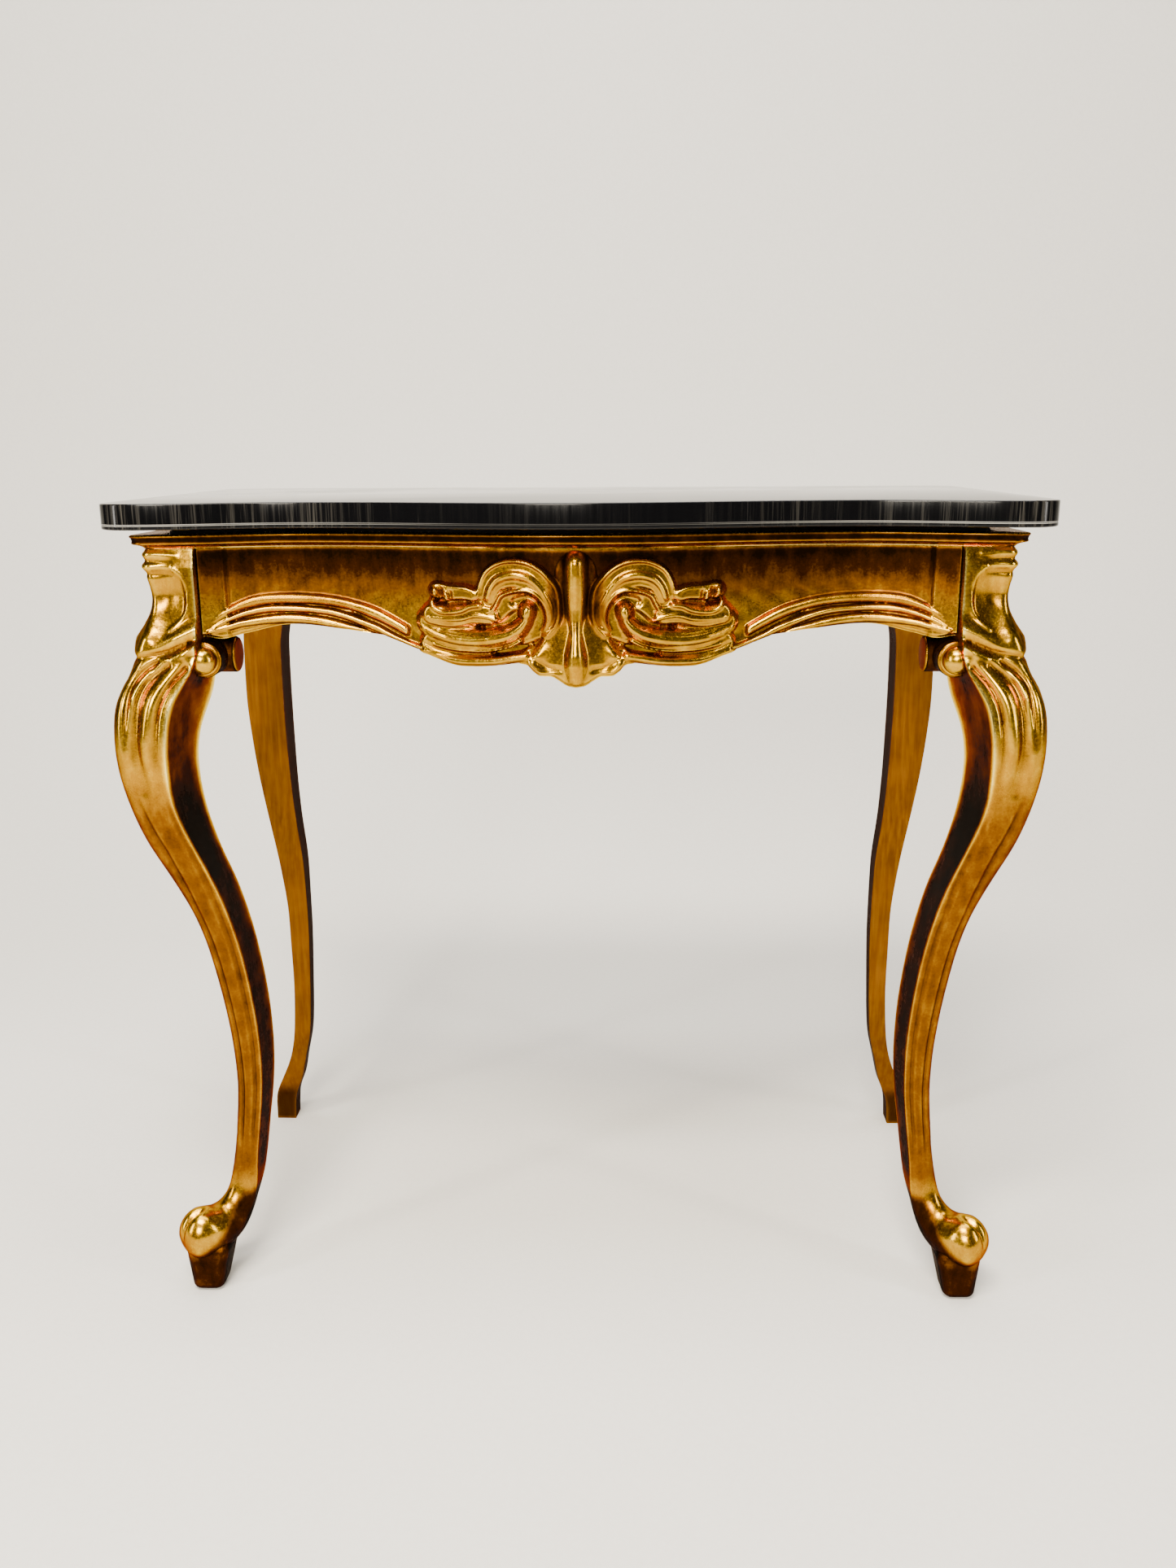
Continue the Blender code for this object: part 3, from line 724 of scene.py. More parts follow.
def leg_rings(shaft, foot, corners, relief, down_to, rise_step):
    """Rings of points for a right-hand leg, as reach outward, reach forward and height.

    corners gives, at some heights, how wide the rounding of the outer edge is. relief gives
    how far the carving stands off the two outer faces.
    """
    table = np.array(shaft, float)
    heights = np.arange(table[0, 0], down_to, -rise_step)
    outer, inner, edge = [
        eased(through(table[:, 0], table[:, i], heights), 1.1 / rise_step)
        for i in (1, 2, 3)
    ]
    rows = np.column_stack([outer, heights, inner, heights, (outer - edge) / ROOT_2, 0 * heights])
    if foot:
        # The foot's curve takes over from the last rings of the shaft.
        lead = rows[-6:][::3]
        run = spline(np.vstack([lead, foot]), 7)
        rows = np.vstack([rows[:-6], run])
    out_e, out_z, in_e, in_z, half, rounded = rows.T
    corner = np.interp(out_z, *zip(*sorted(corners)))
    # A rounder edge would look thinner, so the section grows to make up for it.
    allowance = 0.33 * (corner - corner[0]) * (1 - rounded)
    out_e = out_e + allowance
    half = half + allowance / ROOT_2
    span = np.hypot((out_e - in_e) * ROOT_2, out_z - in_z)
    deep, wide, lean = half_ring(half / span, corner / span, rounded)
    deep, wide = deep * span[:, None], wide * span[:, None]
    step_e = ((in_e - out_e) * ROOT_2 / span)[:, None]
    step_z = ((in_z - out_z) / span)[:, None]
    diagonal = out_e[:, None] * ROOT_2 + step_e * deep
    height = out_z[:, None] + step_z * deep
    reach = (diagonal - wide) / ROOT_2
    lift = relief(reach, height, out_e[:, None], wide) if relief else 0 * wide
    lift[:, :INNER_STEPS] = 0
    move_in = -np.cos(math.pi / 4 - lean) * lift
    move_out = np.sin(math.pi / 4 - lean) * lift
    diagonal = diagonal + step_e * move_in
    height = height + step_z * move_in
    wide = wide + move_out
    front = np.stack([(diagonal - wide) / ROOT_2, (diagonal + wide) / ROOT_2, height], -1)
    side = np.stack([(diagonal + wide) / ROOT_2, (diagonal - wide) / ROOT_2, height], -1)
    return np.concatenate([front, side[:, -2:0:-1]], axis=1)


def front_leg_relief(flute):
    """The leaf carving of the head, the flutes of the knee and the long facet below them."""

    def relief(reach, height, outer, side):
        work = Carving(reach, height, 0.0)

        # Head: a stile beside a hollow leaf with a fine rim, under two fillets.
        in_head = smooth_step(59.6, 60.6, height) * (1 - smooth_step(64.9, 65.4, height))
        rim = through(
            (59.5, 60.0, 61.1, 62.2, 63.0, 64.1, 64.9), (33.0, 32.4, 31.25, 31.0, 31.0, 31.15, 31.9),
            height,
        )
        stile = 1 - smooth_step(-0.30, 0.12, reach - rim)
        work.height += in_head * stile * np.clip(34.4 - outer, 0, 1)
        work.swell(((32.6, 64.2), (32.5, 62.6), (32.9, 61.2)), (0.9,), (-0.22, -0.3, -0.12))
        work.swell(
            ((31.9, 64.9), (31.15, 64.1), (31.0, 63.0), (30.97, 62.2), (31.2, 61.1), (32.3, 60.1)),
            (0.15,), (0.16,),
        )
        for level, end, rise in ((66.0, 31.5, 0.17), (65.02, 31.9, 0.17)):
            work.swell(
                ((35.2, level), (33.0, level), (end, level - 0.1)), (0.24, 0.24, 0.16),
                (rise, rise, 0.06),
            )
        work.swell(((35.2, 65.5), (33.0, 65.5), (31.8, 65.4)), (0.13,), (-0.16, -0.14, 0))
        work.swell(((35.2, 64.45), (33.0, 64.5), (32.0, 64.5)), (0.2,), (-0.16, -0.12, -0.05))

        # Waist: the leaf's end turns over the scroll.
        work.swell(((33.6, 60.3), (33.9, 59.5), (34.6, 58.7)), (0.75, 0.7), (0.1, 0.34, 0.2))
        work.swell(
            ((30.0, 60.4), (31.4, 59.75), (32.8, 59.0), (33.9, 58.4)), (0.45, 0.5, 0.4),
            (0.32, 0.38, 0.1),
        )
        work.swell(
            ((35.6, 57.4), (34.5, 58.0), (32.5, 58.35), (30.5, 59.2)), (0.22, 0.24, 0.16),
            (-0.14, -0.2, -0.22),
        )
        work.swell(((30.1, 58.9), (31.5, 58.2), (32.7, 57.4), (33.8, 56.5)), (0.36,), (0.34, 0.3, 0.12))

        # Knee: three flutes that run out downwards, with full ridges between them.
        outer_flute = ((33.4, 57.6), (34.7, 56.6), (35.4, 55.5), (35.75, 53.4), (36.0, 50.6))
        valley = ((32.4, 57.45), (33.8, 56.25), (34.6, 54.8), (34.98, 52.7), (35.1, 50.6), (34.7, 47.4))
        inner_flute = ((31.0, 57.2), (32.2, 55.9), (33.0, 54.4), (33.34, 52.7), (33.5, 50.6), (33.3, 48.0))
        work.swell(outer_flute, (0.2, 0.28), (-flute, -flute, -flute * 0.7, 0))
        work.swell(valley, (0.24, 0.36, 0.55), (-flute, -flute * 1.1, -flute, -flute * 0.5))
        work.swell(inner_flute, (0.18, 0.24), (-flute, -flute, -flute * 0.6, 0))
        bright = ((31.1, 57.9), (32.4, 56.6), (33.45, 55.1), (34.0, 52.8), (34.25, 50.6), (34.1, 47.6))
        work.swell(bright, (0.4, 0.5), (0.2, 0.22, 0.2, 0.1))
        work.swell(((33.9, 57.0), (34.85, 55.5), (35.35, 53.7), (35.5, 52.3)), (0.18,), (0.12, 0.16, 0))

        # Shaft: a long raised facet between two grooves.
        face = np.clip((outer - reach) / np.maximum(outer - edge_reach(height), 0.2), 0, 1)
        below = smooth_step(48.5, 44.5, height) * smooth_step(10.5, 15, height)
        left = np.interp(height, (12, 36, 42, 47), (0.34, 0.30, 0.42, 0.36))
        right = np.interp(height, (12, 36, 42, 47), (0.66, 0.72, 0.86, 0.92))
        facet = smooth_step(-0.05, 0.05, face - left) * (1 - smooth_step(-0.05, 0.05, face - right))
        work.height += below * 0.13 * facet
        work.height -= below * 0.12 * (bump(face, left - 0.07, 0.06) + 0.8 * bump(face, right + 0.08, 0.05))

        # Toe: a cleft down the middle and a curled tip.
        toe = smooth_step(33.4, 34.6, outer) * smooth_step(9.3, 8.0, height)
        work.height -= 0.42 * toe * bump(side, 0, 0.32)
        tip = bump(outer, 33.75, 0.4) * smooth_step(9.5, 8.2, height) * bump(side, 0.0, 0.5)
        work.height += 0.22 * tip
        return work.height

    return relief


def edge_reach(height):
    """Reach of the sharp edge of a front leg's carved face."""
    table = np.array(FRONT_SHAFT)
    return through(table[:, 0], table[:, 3], height)


def stand(rings, forward):
    """Turns reach outward, reach forward and height into X, Y and Z on the right-hand side."""
    y = rings[..., 1] - REACH_TO_Y
    return np.stack([rings[..., 0], -y if forward else y, rings[..., 2]], -1)


def scroll_end(faces_front, barrel_radius, ball_radius):
    """The rolled end under a leg's head: a barrel with a ball as its eye, on one face."""
    if faces_front:
        middle, eye = (EYE, -12.3, EYE_Z), (EYE, -15.35, EYE_Z)
        axis, flattened = "X", (1, 0.86, 0.97)
    else:
        middle, eye = (30.9, SIDE_EYE_Y, EYE_Z), (33.95, SIDE_EYE_Y, EYE_Z)
        axis, flattened = "Y", (0.86, 1, 0.97)
    pick_nothing()
    bpy.ops.mesh.primitive_cylinder_add(vertices=56, radius=barrel_radius, depth=5.4 * MM)
    barrel = bpy.context.object
    with editing(barrel):
        bpy.ops.mesh.bevel(offset=0.28 * MM, segments=5, affect="EDGES")
    turn = Matrix.Rotation(math.pi / 2, 4, axis)
    barrel.data.transform(Matrix.Translation(Vector(middle) * MM) @ turn)
    pick_nothing()
    bpy.ops.mesh.primitive_uv_sphere_add(segments=40, ring_count=24, radius=ball_radius)
    ball = bpy.context.object
    with editing(ball):
        bpy.ops.transform.resize(value=flattened)
    ball.data.transform(Matrix.Translation(Vector(eye) * MM))
    return [barrel, ball]


# The tapered block under a front foot: reach of its two sides at the top and on the floor.
BLOCK_NEAR = (31.5, 32.5)
BLOCK_FAR = (35.55, 35.2)
BLOCK_TOP = 4.6


def foot_block():
    """The small tapered block a front foot stands on."""
    pick_nothing()
    bpy.ops.mesh.primitive_cube_add(size=1)
    block = bpy.context.object
    corners = np.empty(24)
    block.data.vertices.foreach_get("co", corners)
    unit = corners.reshape(-1, 3) + 0.5
    near = np.where(unit[:, 2] > 0.5, *BLOCK_NEAR)
    far = np.where(unit[:, 2] > 0.5, *BLOCK_FAR)
    reach = near[:, None] + unit[:, :2] * (far - near)[:, None]
    placed = stand(np.column_stack([reach, unit[:, 2] * BLOCK_TOP]), True)
    block.data.vertices.foreach_set("co", (placed * MM).ravel())
    with editing(block):
        bpy.ops.mesh.normals_make_consistent(inside=False)
        bpy.ops.mesh.bevel(offset=0.75 * MM, segments=6, affect="EDGES")
        bpy.ops.mesh.subdivide(number_cuts=3)
    return block


def gather(piece, others):
    """Joins the others into the piece."""
    pick(piece)
    for other in others:
        other.select_set(True)
    bpy.ops.object.join()


def inward_share(points, normals):
    """1 on faces turned to the table's middle, -1 on faces turned away from it."""
    return -(normals[:, 0] * np.sign(points[:, 0]) + normals[:, 1] * np.sign(points[:, 1])) / ROOT_2


def leg_painted_shade(points, normals):
    """Painted shade on the inner faces, on the scroll ends and low on the foot; the lower shaft is also made
    a little darker.
    """
    x, y, z = np.abs(points[:, 0]), points[:, 1], points[:, 2]
    inner = smooth_step(0.2, 0.6, inward_share(points, normals)) * smooth_step(62.0, 58.0, z)
    reach = (x - y + REACH_TO_Y) / 2
    dark_to = np.interp(reach, (31.5, 33.5, 35.2), (8.2, 5.6, 3.9))
    foot = smooth_step(dark_to + 0.7, dark_to - 0.5, z) * (z < 12)
    shaft = smooth_step(50, 44, z) * smooth_step(8.5, 11, z)
    balls = (np.hypot(x - EYE, z - EYE_Z) < 1.25) & (y < -14.95)
    balls = balls | (np.hypot(y - SIDE_EYE_Y, z - EYE_Z) < 1.25) & (x > 33.55)
    ends = (x < EYE + 0.8) * smooth_step(59.4, 59.1, z) * smooth_step(55.6, 55.9, z) * ~balls
    inner = inner * np.interp(z, (9, 34, 46), (0.45, 0.6, 1))
    return -0.33 * np.clip(inner + ends, 0, 1) - 0.38 * foot - 0.20 * shaft


def rear_painted_shade(points, normals):
    """Painted shade on the sides turned to the table's middle and low on the feet."""
    inner = smooth_step(0.2, 0.6, -normals[:, 0] * np.sign(points[:, 0]))
    return -0.4 * np.maximum(inner, smooth_step(5.5, 3.0, points[:, 2]))


def rail_painted_shade(points, normals):
    """Painted shade that deepens up towards the cornice and the slab above it, clear of the reeds, and on the
    faces turned up, down or back.
    """
    facing = smooth_step(0.3, 0.7, np.maximum(-normals[:, 1], np.abs(normals[:, 0])))
    z = points[:, 2]
    deep = 0.08 + 0.30 * smooth_step(61.4, 65.4, z) + 0.08 * smooth_step(65.0, 66.2, z)
    above_reeds = smooth_step(60.9, 61.9, z)
    return -(deep * above_reeds) * facing - 0.3 * (1 - facing)


def carving_painted_shade(points, normals):
    """Painted shade on the ground between the rib and the scrolls and under the cornice."""
    across, z = np.abs(points[:, 0]), points[:, 2]
    flank = smooth_step(0.35, 0.9, across) * smooth_step(2.6, 1.6, across) * smooth_step(59.0, 62.0, z)
    return -0.12 * smooth_step(64.6, 66.0, z) - 0.3 * flank


def cornice_painted_shade(points, normals):
    """Painted shade: the whole cornice is a little darker and the fascia under the slab much darker, which
    leaves the bead below it brighter.
    """
    return -0.30 * smooth_step(66.80, 66.95, points[:, 2]) - 0.12


# ---------------------------------------------------------------- the rails

# The front rail's lower edge, as distance from the middle and height.
FRONT_LOWER_EDGE = (
    (0.0, 55.60), (0.6, 55.70), (1.4, 56.15), (2.0, 56.45), (2.8, 56.50), (3.4, 56.85), (3.9, 57.35),
    (4.4, 57.42), (6.0, 57.20), (9.0, 57.10), (12.0, 57.95), (16.0, 59.30), (19.0, 59.75), (23.5, 60.10),
    (26.9, 59.50), (28.7, 59.15), (29.9, 59.40),
)
# The cornice's section, as inset from the slab's edge and height: up the back, then down the
# upper bead, the fascia, the lower bead and the cove.
CORNICE = (
    (4.10, 66.42), (4.10, 67.50), (1.94, 67.50), (1.84, 67.46), (1.80, 67.38), (1.83, 67.30), (1.90, 67.24),
    (1.95, 67.06), (1.96, 66.98), (1.92, 66.90), (1.93, 66.82), (2.02, 66.76), (2.22, 66.72), (2.46, 66.64),
    (2.66, 66.54), (2.76, 66.42),
)


def lower_edge(x):
    """Height of the front rail's lower edge."""
    stations, heights = np.array(FRONT_LOWER_EDGE).T
    return through(stations, heights, np.abs(x))


def rail_shell(low_z, face_at, thickness):
    """A rail's four sides in section at each column: face, top, back and underside.

    face_at(heights) gives how far the face stands forward, in millimetres. Returns distance
    back from the face line and height for each ring.
    """
    share = np.linspace(0, 1, 88) ** 1.25
    z = low_z[:, None] + (FRAME_TOP - low_z)[:, None] * share
    lift = face_at(z)
    under = smooth_step(0.35, 0, z - low_z[:, None])
    back = -lift + 0.22 * under**2
    steps = np.linspace(0, 1, 5)[1:]
    top = np.stack(
        [back[:, -1:] + (thickness - back[:, -1:]) * steps, FRAME_TOP + 0 * steps + 0 * back[:, :1]], -1,
    )
    depth = np.linspace(1, 0, 8)[1:]
    rear = np.stack([thickness + 0 * z[:, :7], low_z[:, None] + (FRAME_TOP - low_z)[:, None] * depth], -1)
    below = np.linspace(1, 0, 7)[1:-1]
    bottom = np.stack(
        [back[:, :1] + (thickness - back[:, :1]) * below, low_z[:, None] + 0 * below + 0 * z[:, :5]], -1,
    )
    return np.concatenate([np.stack([back, z], -1), top, rear, bottom], axis=1)


def front_rail_face(xs, z, reed):
    """Stiles at the ends, a slightly hollow panel and three reeds that follow the lower edge."""
    across = np.abs(xs)[:, None] + 0 * z
    work = Carving(across, z, 0.0)
    panel = smooth_step(28.25, 27.95, across)
    work.height += 0.28 * (1 - panel) - 0.16 * bump(across, 28.12, 0.13)
    rise = (z - 60) / 6.4
    work.height += panel * 0.22 * smooth_step(0.45, 1.0, rise)
    # The panel was scraped by hand and isn't quite flat.
    ripple = np.sin(across * 2.1 + 3.0 * np.sin(z * 0.9)) * np.sin(z * 1.7 + across * 0.35)
    work.height += panel * 0.02 * ripple
    top = (
        (29.2, 60.6), (28.4, 61.2), (27.1, 61.8), (25.3, 62.2), (22.3, 62.22), (19.8, 62.0),
        (18.05, 61.62), (16.4, 61.08), (14.85, 60.35), (13.75, 59.75),
    )
    middle = (
        (29.3, 60.0), (28.5, 60.5), (27.0, 61.08), (25.1, 61.42), (22.8, 61.4), (20.4, 61.18),
        (19.0, 60.85), (17.75, 60.42), (16.2, 59.85), (14.9, 59.2), (13.3, 58.55), (12.3, 58.35),
    )
    bottom = (
        (29.6, 59.75), (28.2, 60.05), (26.9, 60.35), (24.0, 60.62), (21.0, 60.35), (18.6, 59.78),
        (16.7, 59.1), (14.9, 58.4), (13.0, 57.75), (10.0, 57.5), (6.0, 57.6), (3.0, 57.6),
    )
    fade = smooth_step(13.45, 13.75, across)
    before = work.height.copy()
    work.roll(top, (0.16, 0.44, 0.46, 0.44, 0.5, 0.44), (reed * 0.6, reed, reed * 1.15), 0.7)
    work.height = before + (work.height - before) * fade
    work.roll(middle, (0.2, 0.32, 0.3, 0.34, 0.26), (reed * 0.7, reed * 0.92, reed), 0.7)
    work.roll(bottom, (0.25, 0.44, 0.46, 0.44, 0.42), (reed * 0.8, reed * 1.05, reed * 1.1), 0.65)
    split = ((19.2, 61.55), (18.0, 61.1), (16.8, 60.65))
    work.swell(split, (0.08, 0.12, 0.06), (0, -0.2, 0))
    work.soften(1)
    return work.height


# ---------------------------------------------------------------- the centre carving


def centre_relief(xs, z, full):
    """The ribbed middle with its drop, and on each side a C-scroll, a horn and a leaf."""
    across = np.abs(xs)[:, None] + 0 * z
    work = Carving(across, z, -0.55)

    # Ground behind the scrolls, then the shell-like drop under the rib.
    work.shelf(((11.6, 60.6), (9.8, 60.9), (8.0, 61.3)), (1.2, 1.3, 1.0), (0.42,))
    work.shelf(((6.4, 61.4), (5.3, 62.3), (4.1, 62.6), (3.1, 62.0), (2.8, 61.0)), (0.9,), (0.36,))
    work.shelf(((11.7, 58.9), (9.5, 58.3), (6.5, 58.4), (4.2, 59.2)), (0.9, 1.0, 1.0), (0.45,))
    flare = np.interp(
        z, (55.5, 56.4, 57.4, 58.4, 59.6, 61.0, 63.0, 66.2), (2.0, 3.2, 4.3, 3.4, 2.6, 2.2, 1.9, 1.6),
    )
    share = across / flare
    low = smooth_step(63.4, 59.6, z)
    cup = 0.10 + low * (0.30 + 0.45 * bump(share, 0, 0.45))
    cup = cup + 0.34 * bump(share, 0.86, 0.2) * smooth_step(59.4, 57.6, z)
    cup = cup - 1.2 * smooth_step(60.4, 63.6, z) - 0.9 * smooth_step(0.86, 1.3, share) * (0.35 + low)
    work.height = np.maximum(work.height, np.where(share < 1.3, cup, -9))

    # Ground between the rib and the scrolls.
    work.shelf(((0, 64.6), (0, 62.4), (0, 60.0)), (1.5, 1.75, 1.9), (0.16,))

    # C-scroll: a broad roll between two beads.
    spine = (
        (7.0, 62.6), (6.75, 63.3), (6.25, 63.95), (5.5, 64.3), (4.6, 64.38), (3.6, 64.1), (2.82, 63.4),
        (2.27, 62.5), (2.0, 61.5), (2.15, 60.6), (2.6, 59.9),
    )
    work.shelf(spine, (0.75, 1.05, 1.12, 1.0, 0.8, 0.5), (0.62, 0.72, 0.72, 0.6, 0.45))
    work.roll(spine, (0.4, 0.62, 0.66, 0.5, 0.4, 0.28), (0.9, 1.05, 1.08, 0.85, 0.7, 0.5), 0.9)
    outer_bead = (
        (7.75, 62.5), (7.6, 63.6), (7.0, 64.7), (5.97, 65.32), (4.83, 65.5), (3.7, 65.32), (2.69, 64.77),
        (1.97, 64.0), (1.5, 63.2), (1.32, 62.2), (1.35, 61.1), (1.7, 60.25), (2.3, 59.6),
    )
    work.roll(outer_bead, (0.2, 0.24, 0.26, 0.24, 0.2, 0.18), (0.85, 1.0, 1.1, 1.05, 0.9, 0.65))
    inner_bead = (
        (7.3, 61.5), (6.76, 61.45), (6.3, 62.05), (5.92, 62.75), (5.1, 63.1), (4.07, 63.22),
        (3.17, 62.95), (2.6, 62.25), (2.34, 61.48), (2.36, 60.6), (2.75, 59.95),
    )
    work.roll(inner_bead, (0.16, 0.2, 0.2, 0.18), (0.9, 0.98, 0.95, 0.75))
    work.swell(((2.2, 63.1), (1.72, 62.2), (1.66, 61.2), (1.95, 60.4)), (0.1,), (-0.22,))
    work.swell(((7.3, 62.3), (6.9, 61.9), (7.15, 61.6)), (0.2,), (-0.2,))

    # Leaf on the outer side: a squared ear with two knobs, then curled edges below it.
    work.shelf(((11.2, 63.05), (10.1, 62.95), (8.9, 62.95), (8.2, 62.8)), (0.6, 0.62, 0.55), (0.92,))
    work.roll(
        ((11.5, 63.55), (10.9, 63.65), (10.0, 63.45), (8.8, 63.35), (8.2, 63.1), (8.0, 62.6)), (0.12,),
        (1.0, 1.05, 1.0),
    )
    work.roll(((11.2, 63.2), (11.18, 62.9)), (0.36,), (1.35,), 0.6)
    work.roll(((10.32, 62.95), (10.2, 62.45)), (0.2,), (1.3,), 0.6)
    work.swell(((10.72, 63.3), (10.7, 62.5), (10.55, 62.2)), (0.1,), (-0.5,))
    work.swell(((9.95, 63.0), (9.9, 62.4)), (0.1,), (-0.35,))
    work.shelf(((11.5, 61.2), (10.0, 61.0), (8.4, 61.3), (6.9, 61.2)), (0.9, 0.95, 0.8), (0.7,))
    work.roll(
        ((11.5, 62.2), (11.3, 61.7), (10.55, 61.4), (9.2, 61.55), (8.4, 61.9), (7.6, 62.0)),
        (0.34, 0.4, 0.34), (0.9, 1.02, 0.95),
    )
    work.roll(
        ((11.7, 60.95), (10.66, 60.85), (9.24, 60.9), (8.05, 61.2), (7.0, 61.1), (6.3, 60.9)),
        (0.3, 0.38, 0.3), (0.85, 0.96, 0.9),
    )

    # Deep cut inside the scroll, then the horn that ends in a knob there.
    gap = (
        (4.7, 62.3), (3.6, 62.4), (3.0, 61.8), (2.85, 61.0), (3.05, 60.1), (3.6, 59.3), (4.8, 58.6),
        (6.5, 58.2), (8.6, 58.1), (11.0, 58.35), (12.3, 58.9),
    )
    work.swell(gap, (0.34, 0.46, 0.4, 0.24, 0.16, 0.12), (-0.5, -1.1, -1.0, -0.4, -0.25, -0.12))
    # The cut has a floor.
    cavity = ((across - 4.7) / 2.8) ** 2 + ((z - 61.0) / 2.2) ** 2 < 1
    work.height = np.maximum(work.height, np.where(cavity, 0.06, -9))
    horn = ((3.85, 61.35), (4.05, 60.7), (5.0, 59.85), (6.6, 59.4), (8.7, 59.2), (10.8, 59.5), (12.2, 60.1))
    work.roll(horn, (0.5, 0.74, 0.86, 0.9, 0.84, 0.55), (1.35, 1.42, 1.38, 1.22, 1.0, 0.5), 0.6)
    work.roll(((3.8, 61.7), (3.86, 61.4)), (0.66,), (1.6,), 0.5)
    work.swell(((4.6, 59.75), (5.6, 59.15), (7.3, 58.8), (9.6, 58.85), (11.4, 59.25)), (0.09,), (-0.2,))
    work.swell(((5.2, 60.3), (6.8, 59.85), (8.8, 59.7), (10.9, 59.95)), (0.08,), (-0.12,))
    work.roll(((4.3, 59.3), (5.5, 58.7), (7.3, 58.4), (9.6, 58.42), (11.4, 58.8)), (0.18,), (0.85, 0.9, 0.6))

    # Polished rim along the lower edge, and the rib with its drop on the middle line.
    work.roll(
        ((12.3, 58.1), (11.6, 57.8), (10.3, 57.55), (8.5, 57.48), (6.7, 57.58), (5.2, 57.82), (4.0, 58.0)),
        (0.42, 0.45, 0.42), (0.62, 0.8, 0.85, 0.7), 0.6,
    )
    rib = [(0, height) for height in np.arange(65.25, 55.9, -0.52)]
    broad = (0.98, 1.0, 0.98, 0.92, 0.84, 0.76, 0.74, 0.86, 1.04, 1.12, 1.0)
    work.roll(rib, broad, (1.3, 1.28, 1.2, 1.1, 1.0, 0.98, 1.1, 1.34, 1.52, 1.52, 1.2), 0.6)
    work.swell(((1.3, 57.0), (2.4, 57.2), (3.4, 57.9)), (0.16,), (-0.16, -0.2, -0.1))

    # What lies below the rail's own face is sunk behind it, out of sight.
    shown = smooth_step(-0.06, 0.04, work.height)
    work.height = np.minimum(work.height * shown - 0.5 * (1 - shown), full)
    work.soften(9)
    return work.height


# ---------------------------------------------------------------- settings


class ConsoleTableSizes(bpy.types.PropertyGroup):
    arris: FloatProperty(
        name="Slab arris", description="Width of the small bevel round the slab", default=0.00014,
        unit="LENGTH",
    )
    saw_line: FloatProperty(
        name="Edge line", description="Depth of the fine line round the slab's edge", default=0.00005,
        unit="LENGTH",
    )
    flute: FloatProperty(
        name="Flute depth", description="Depth of the flutes on the knees", default=0.00030, unit="LENGTH"
    )
    reed: FloatProperty(
        name="Reed height", description="How far the reeds stand off the front rail", default=0.00052,
        unit="LENGTH",
    )
    carving: FloatProperty(
        name="Carving height", description="Most that the centre carving stands off the rail",
        default=0.00175, unit="LENGTH",
    )
    barrel: FloatProperty(
        name="Scroll end", description="Radius of the rolled ends under the legs' heads",
        default=0.00148, unit="LENGTH",
    )
    ball: FloatProperty(
        name="Ball", description="Radius of the balls in the scroll ends", default=0.00118, unit="LENGTH"
    )


class ConsoleTableColours(bpy.types.PropertyGroup):
    gold_leaf: FloatVectorProperty(
        name="Gold leaf", description="Tint over the leaf on the carved parts", subtype="COLOR",
        default=from_hex("#FFFFFF"),
    )
    gold_paint: FloatVectorProperty(
        name="Gold paint", description="Plain paint on the back", subtype="COLOR", default=from_hex("#84500A")
    )
    slab_face: FloatVectorProperty(
        name="Slab", description="Polished face of the slab", subtype="COLOR", default=from_hex("#060607")
    )
    slab_edge: FloatVectorProperty(
        name="Slab edge", description="Cut edge of the slab", subtype="COLOR", default=from_hex("#060607")
    )
    board: FloatVectorProperty(
        name="Board", description="Stained board under the slab", subtype="COLOR", default=from_hex("#080706")
    )
    bare_wood: FloatVectorProperty(
        name="Bare wood", description="Unseen blocks and dowels", subtype="COLOR", default=from_hex("#A88A5E")
    )
    paper: FloatVectorProperty(
        name="Paper", description="Studio backdrop", subtype="COLOR", default=from_hex("#DEDBD5")
    )


# ---------------------------------------------------------------- operators


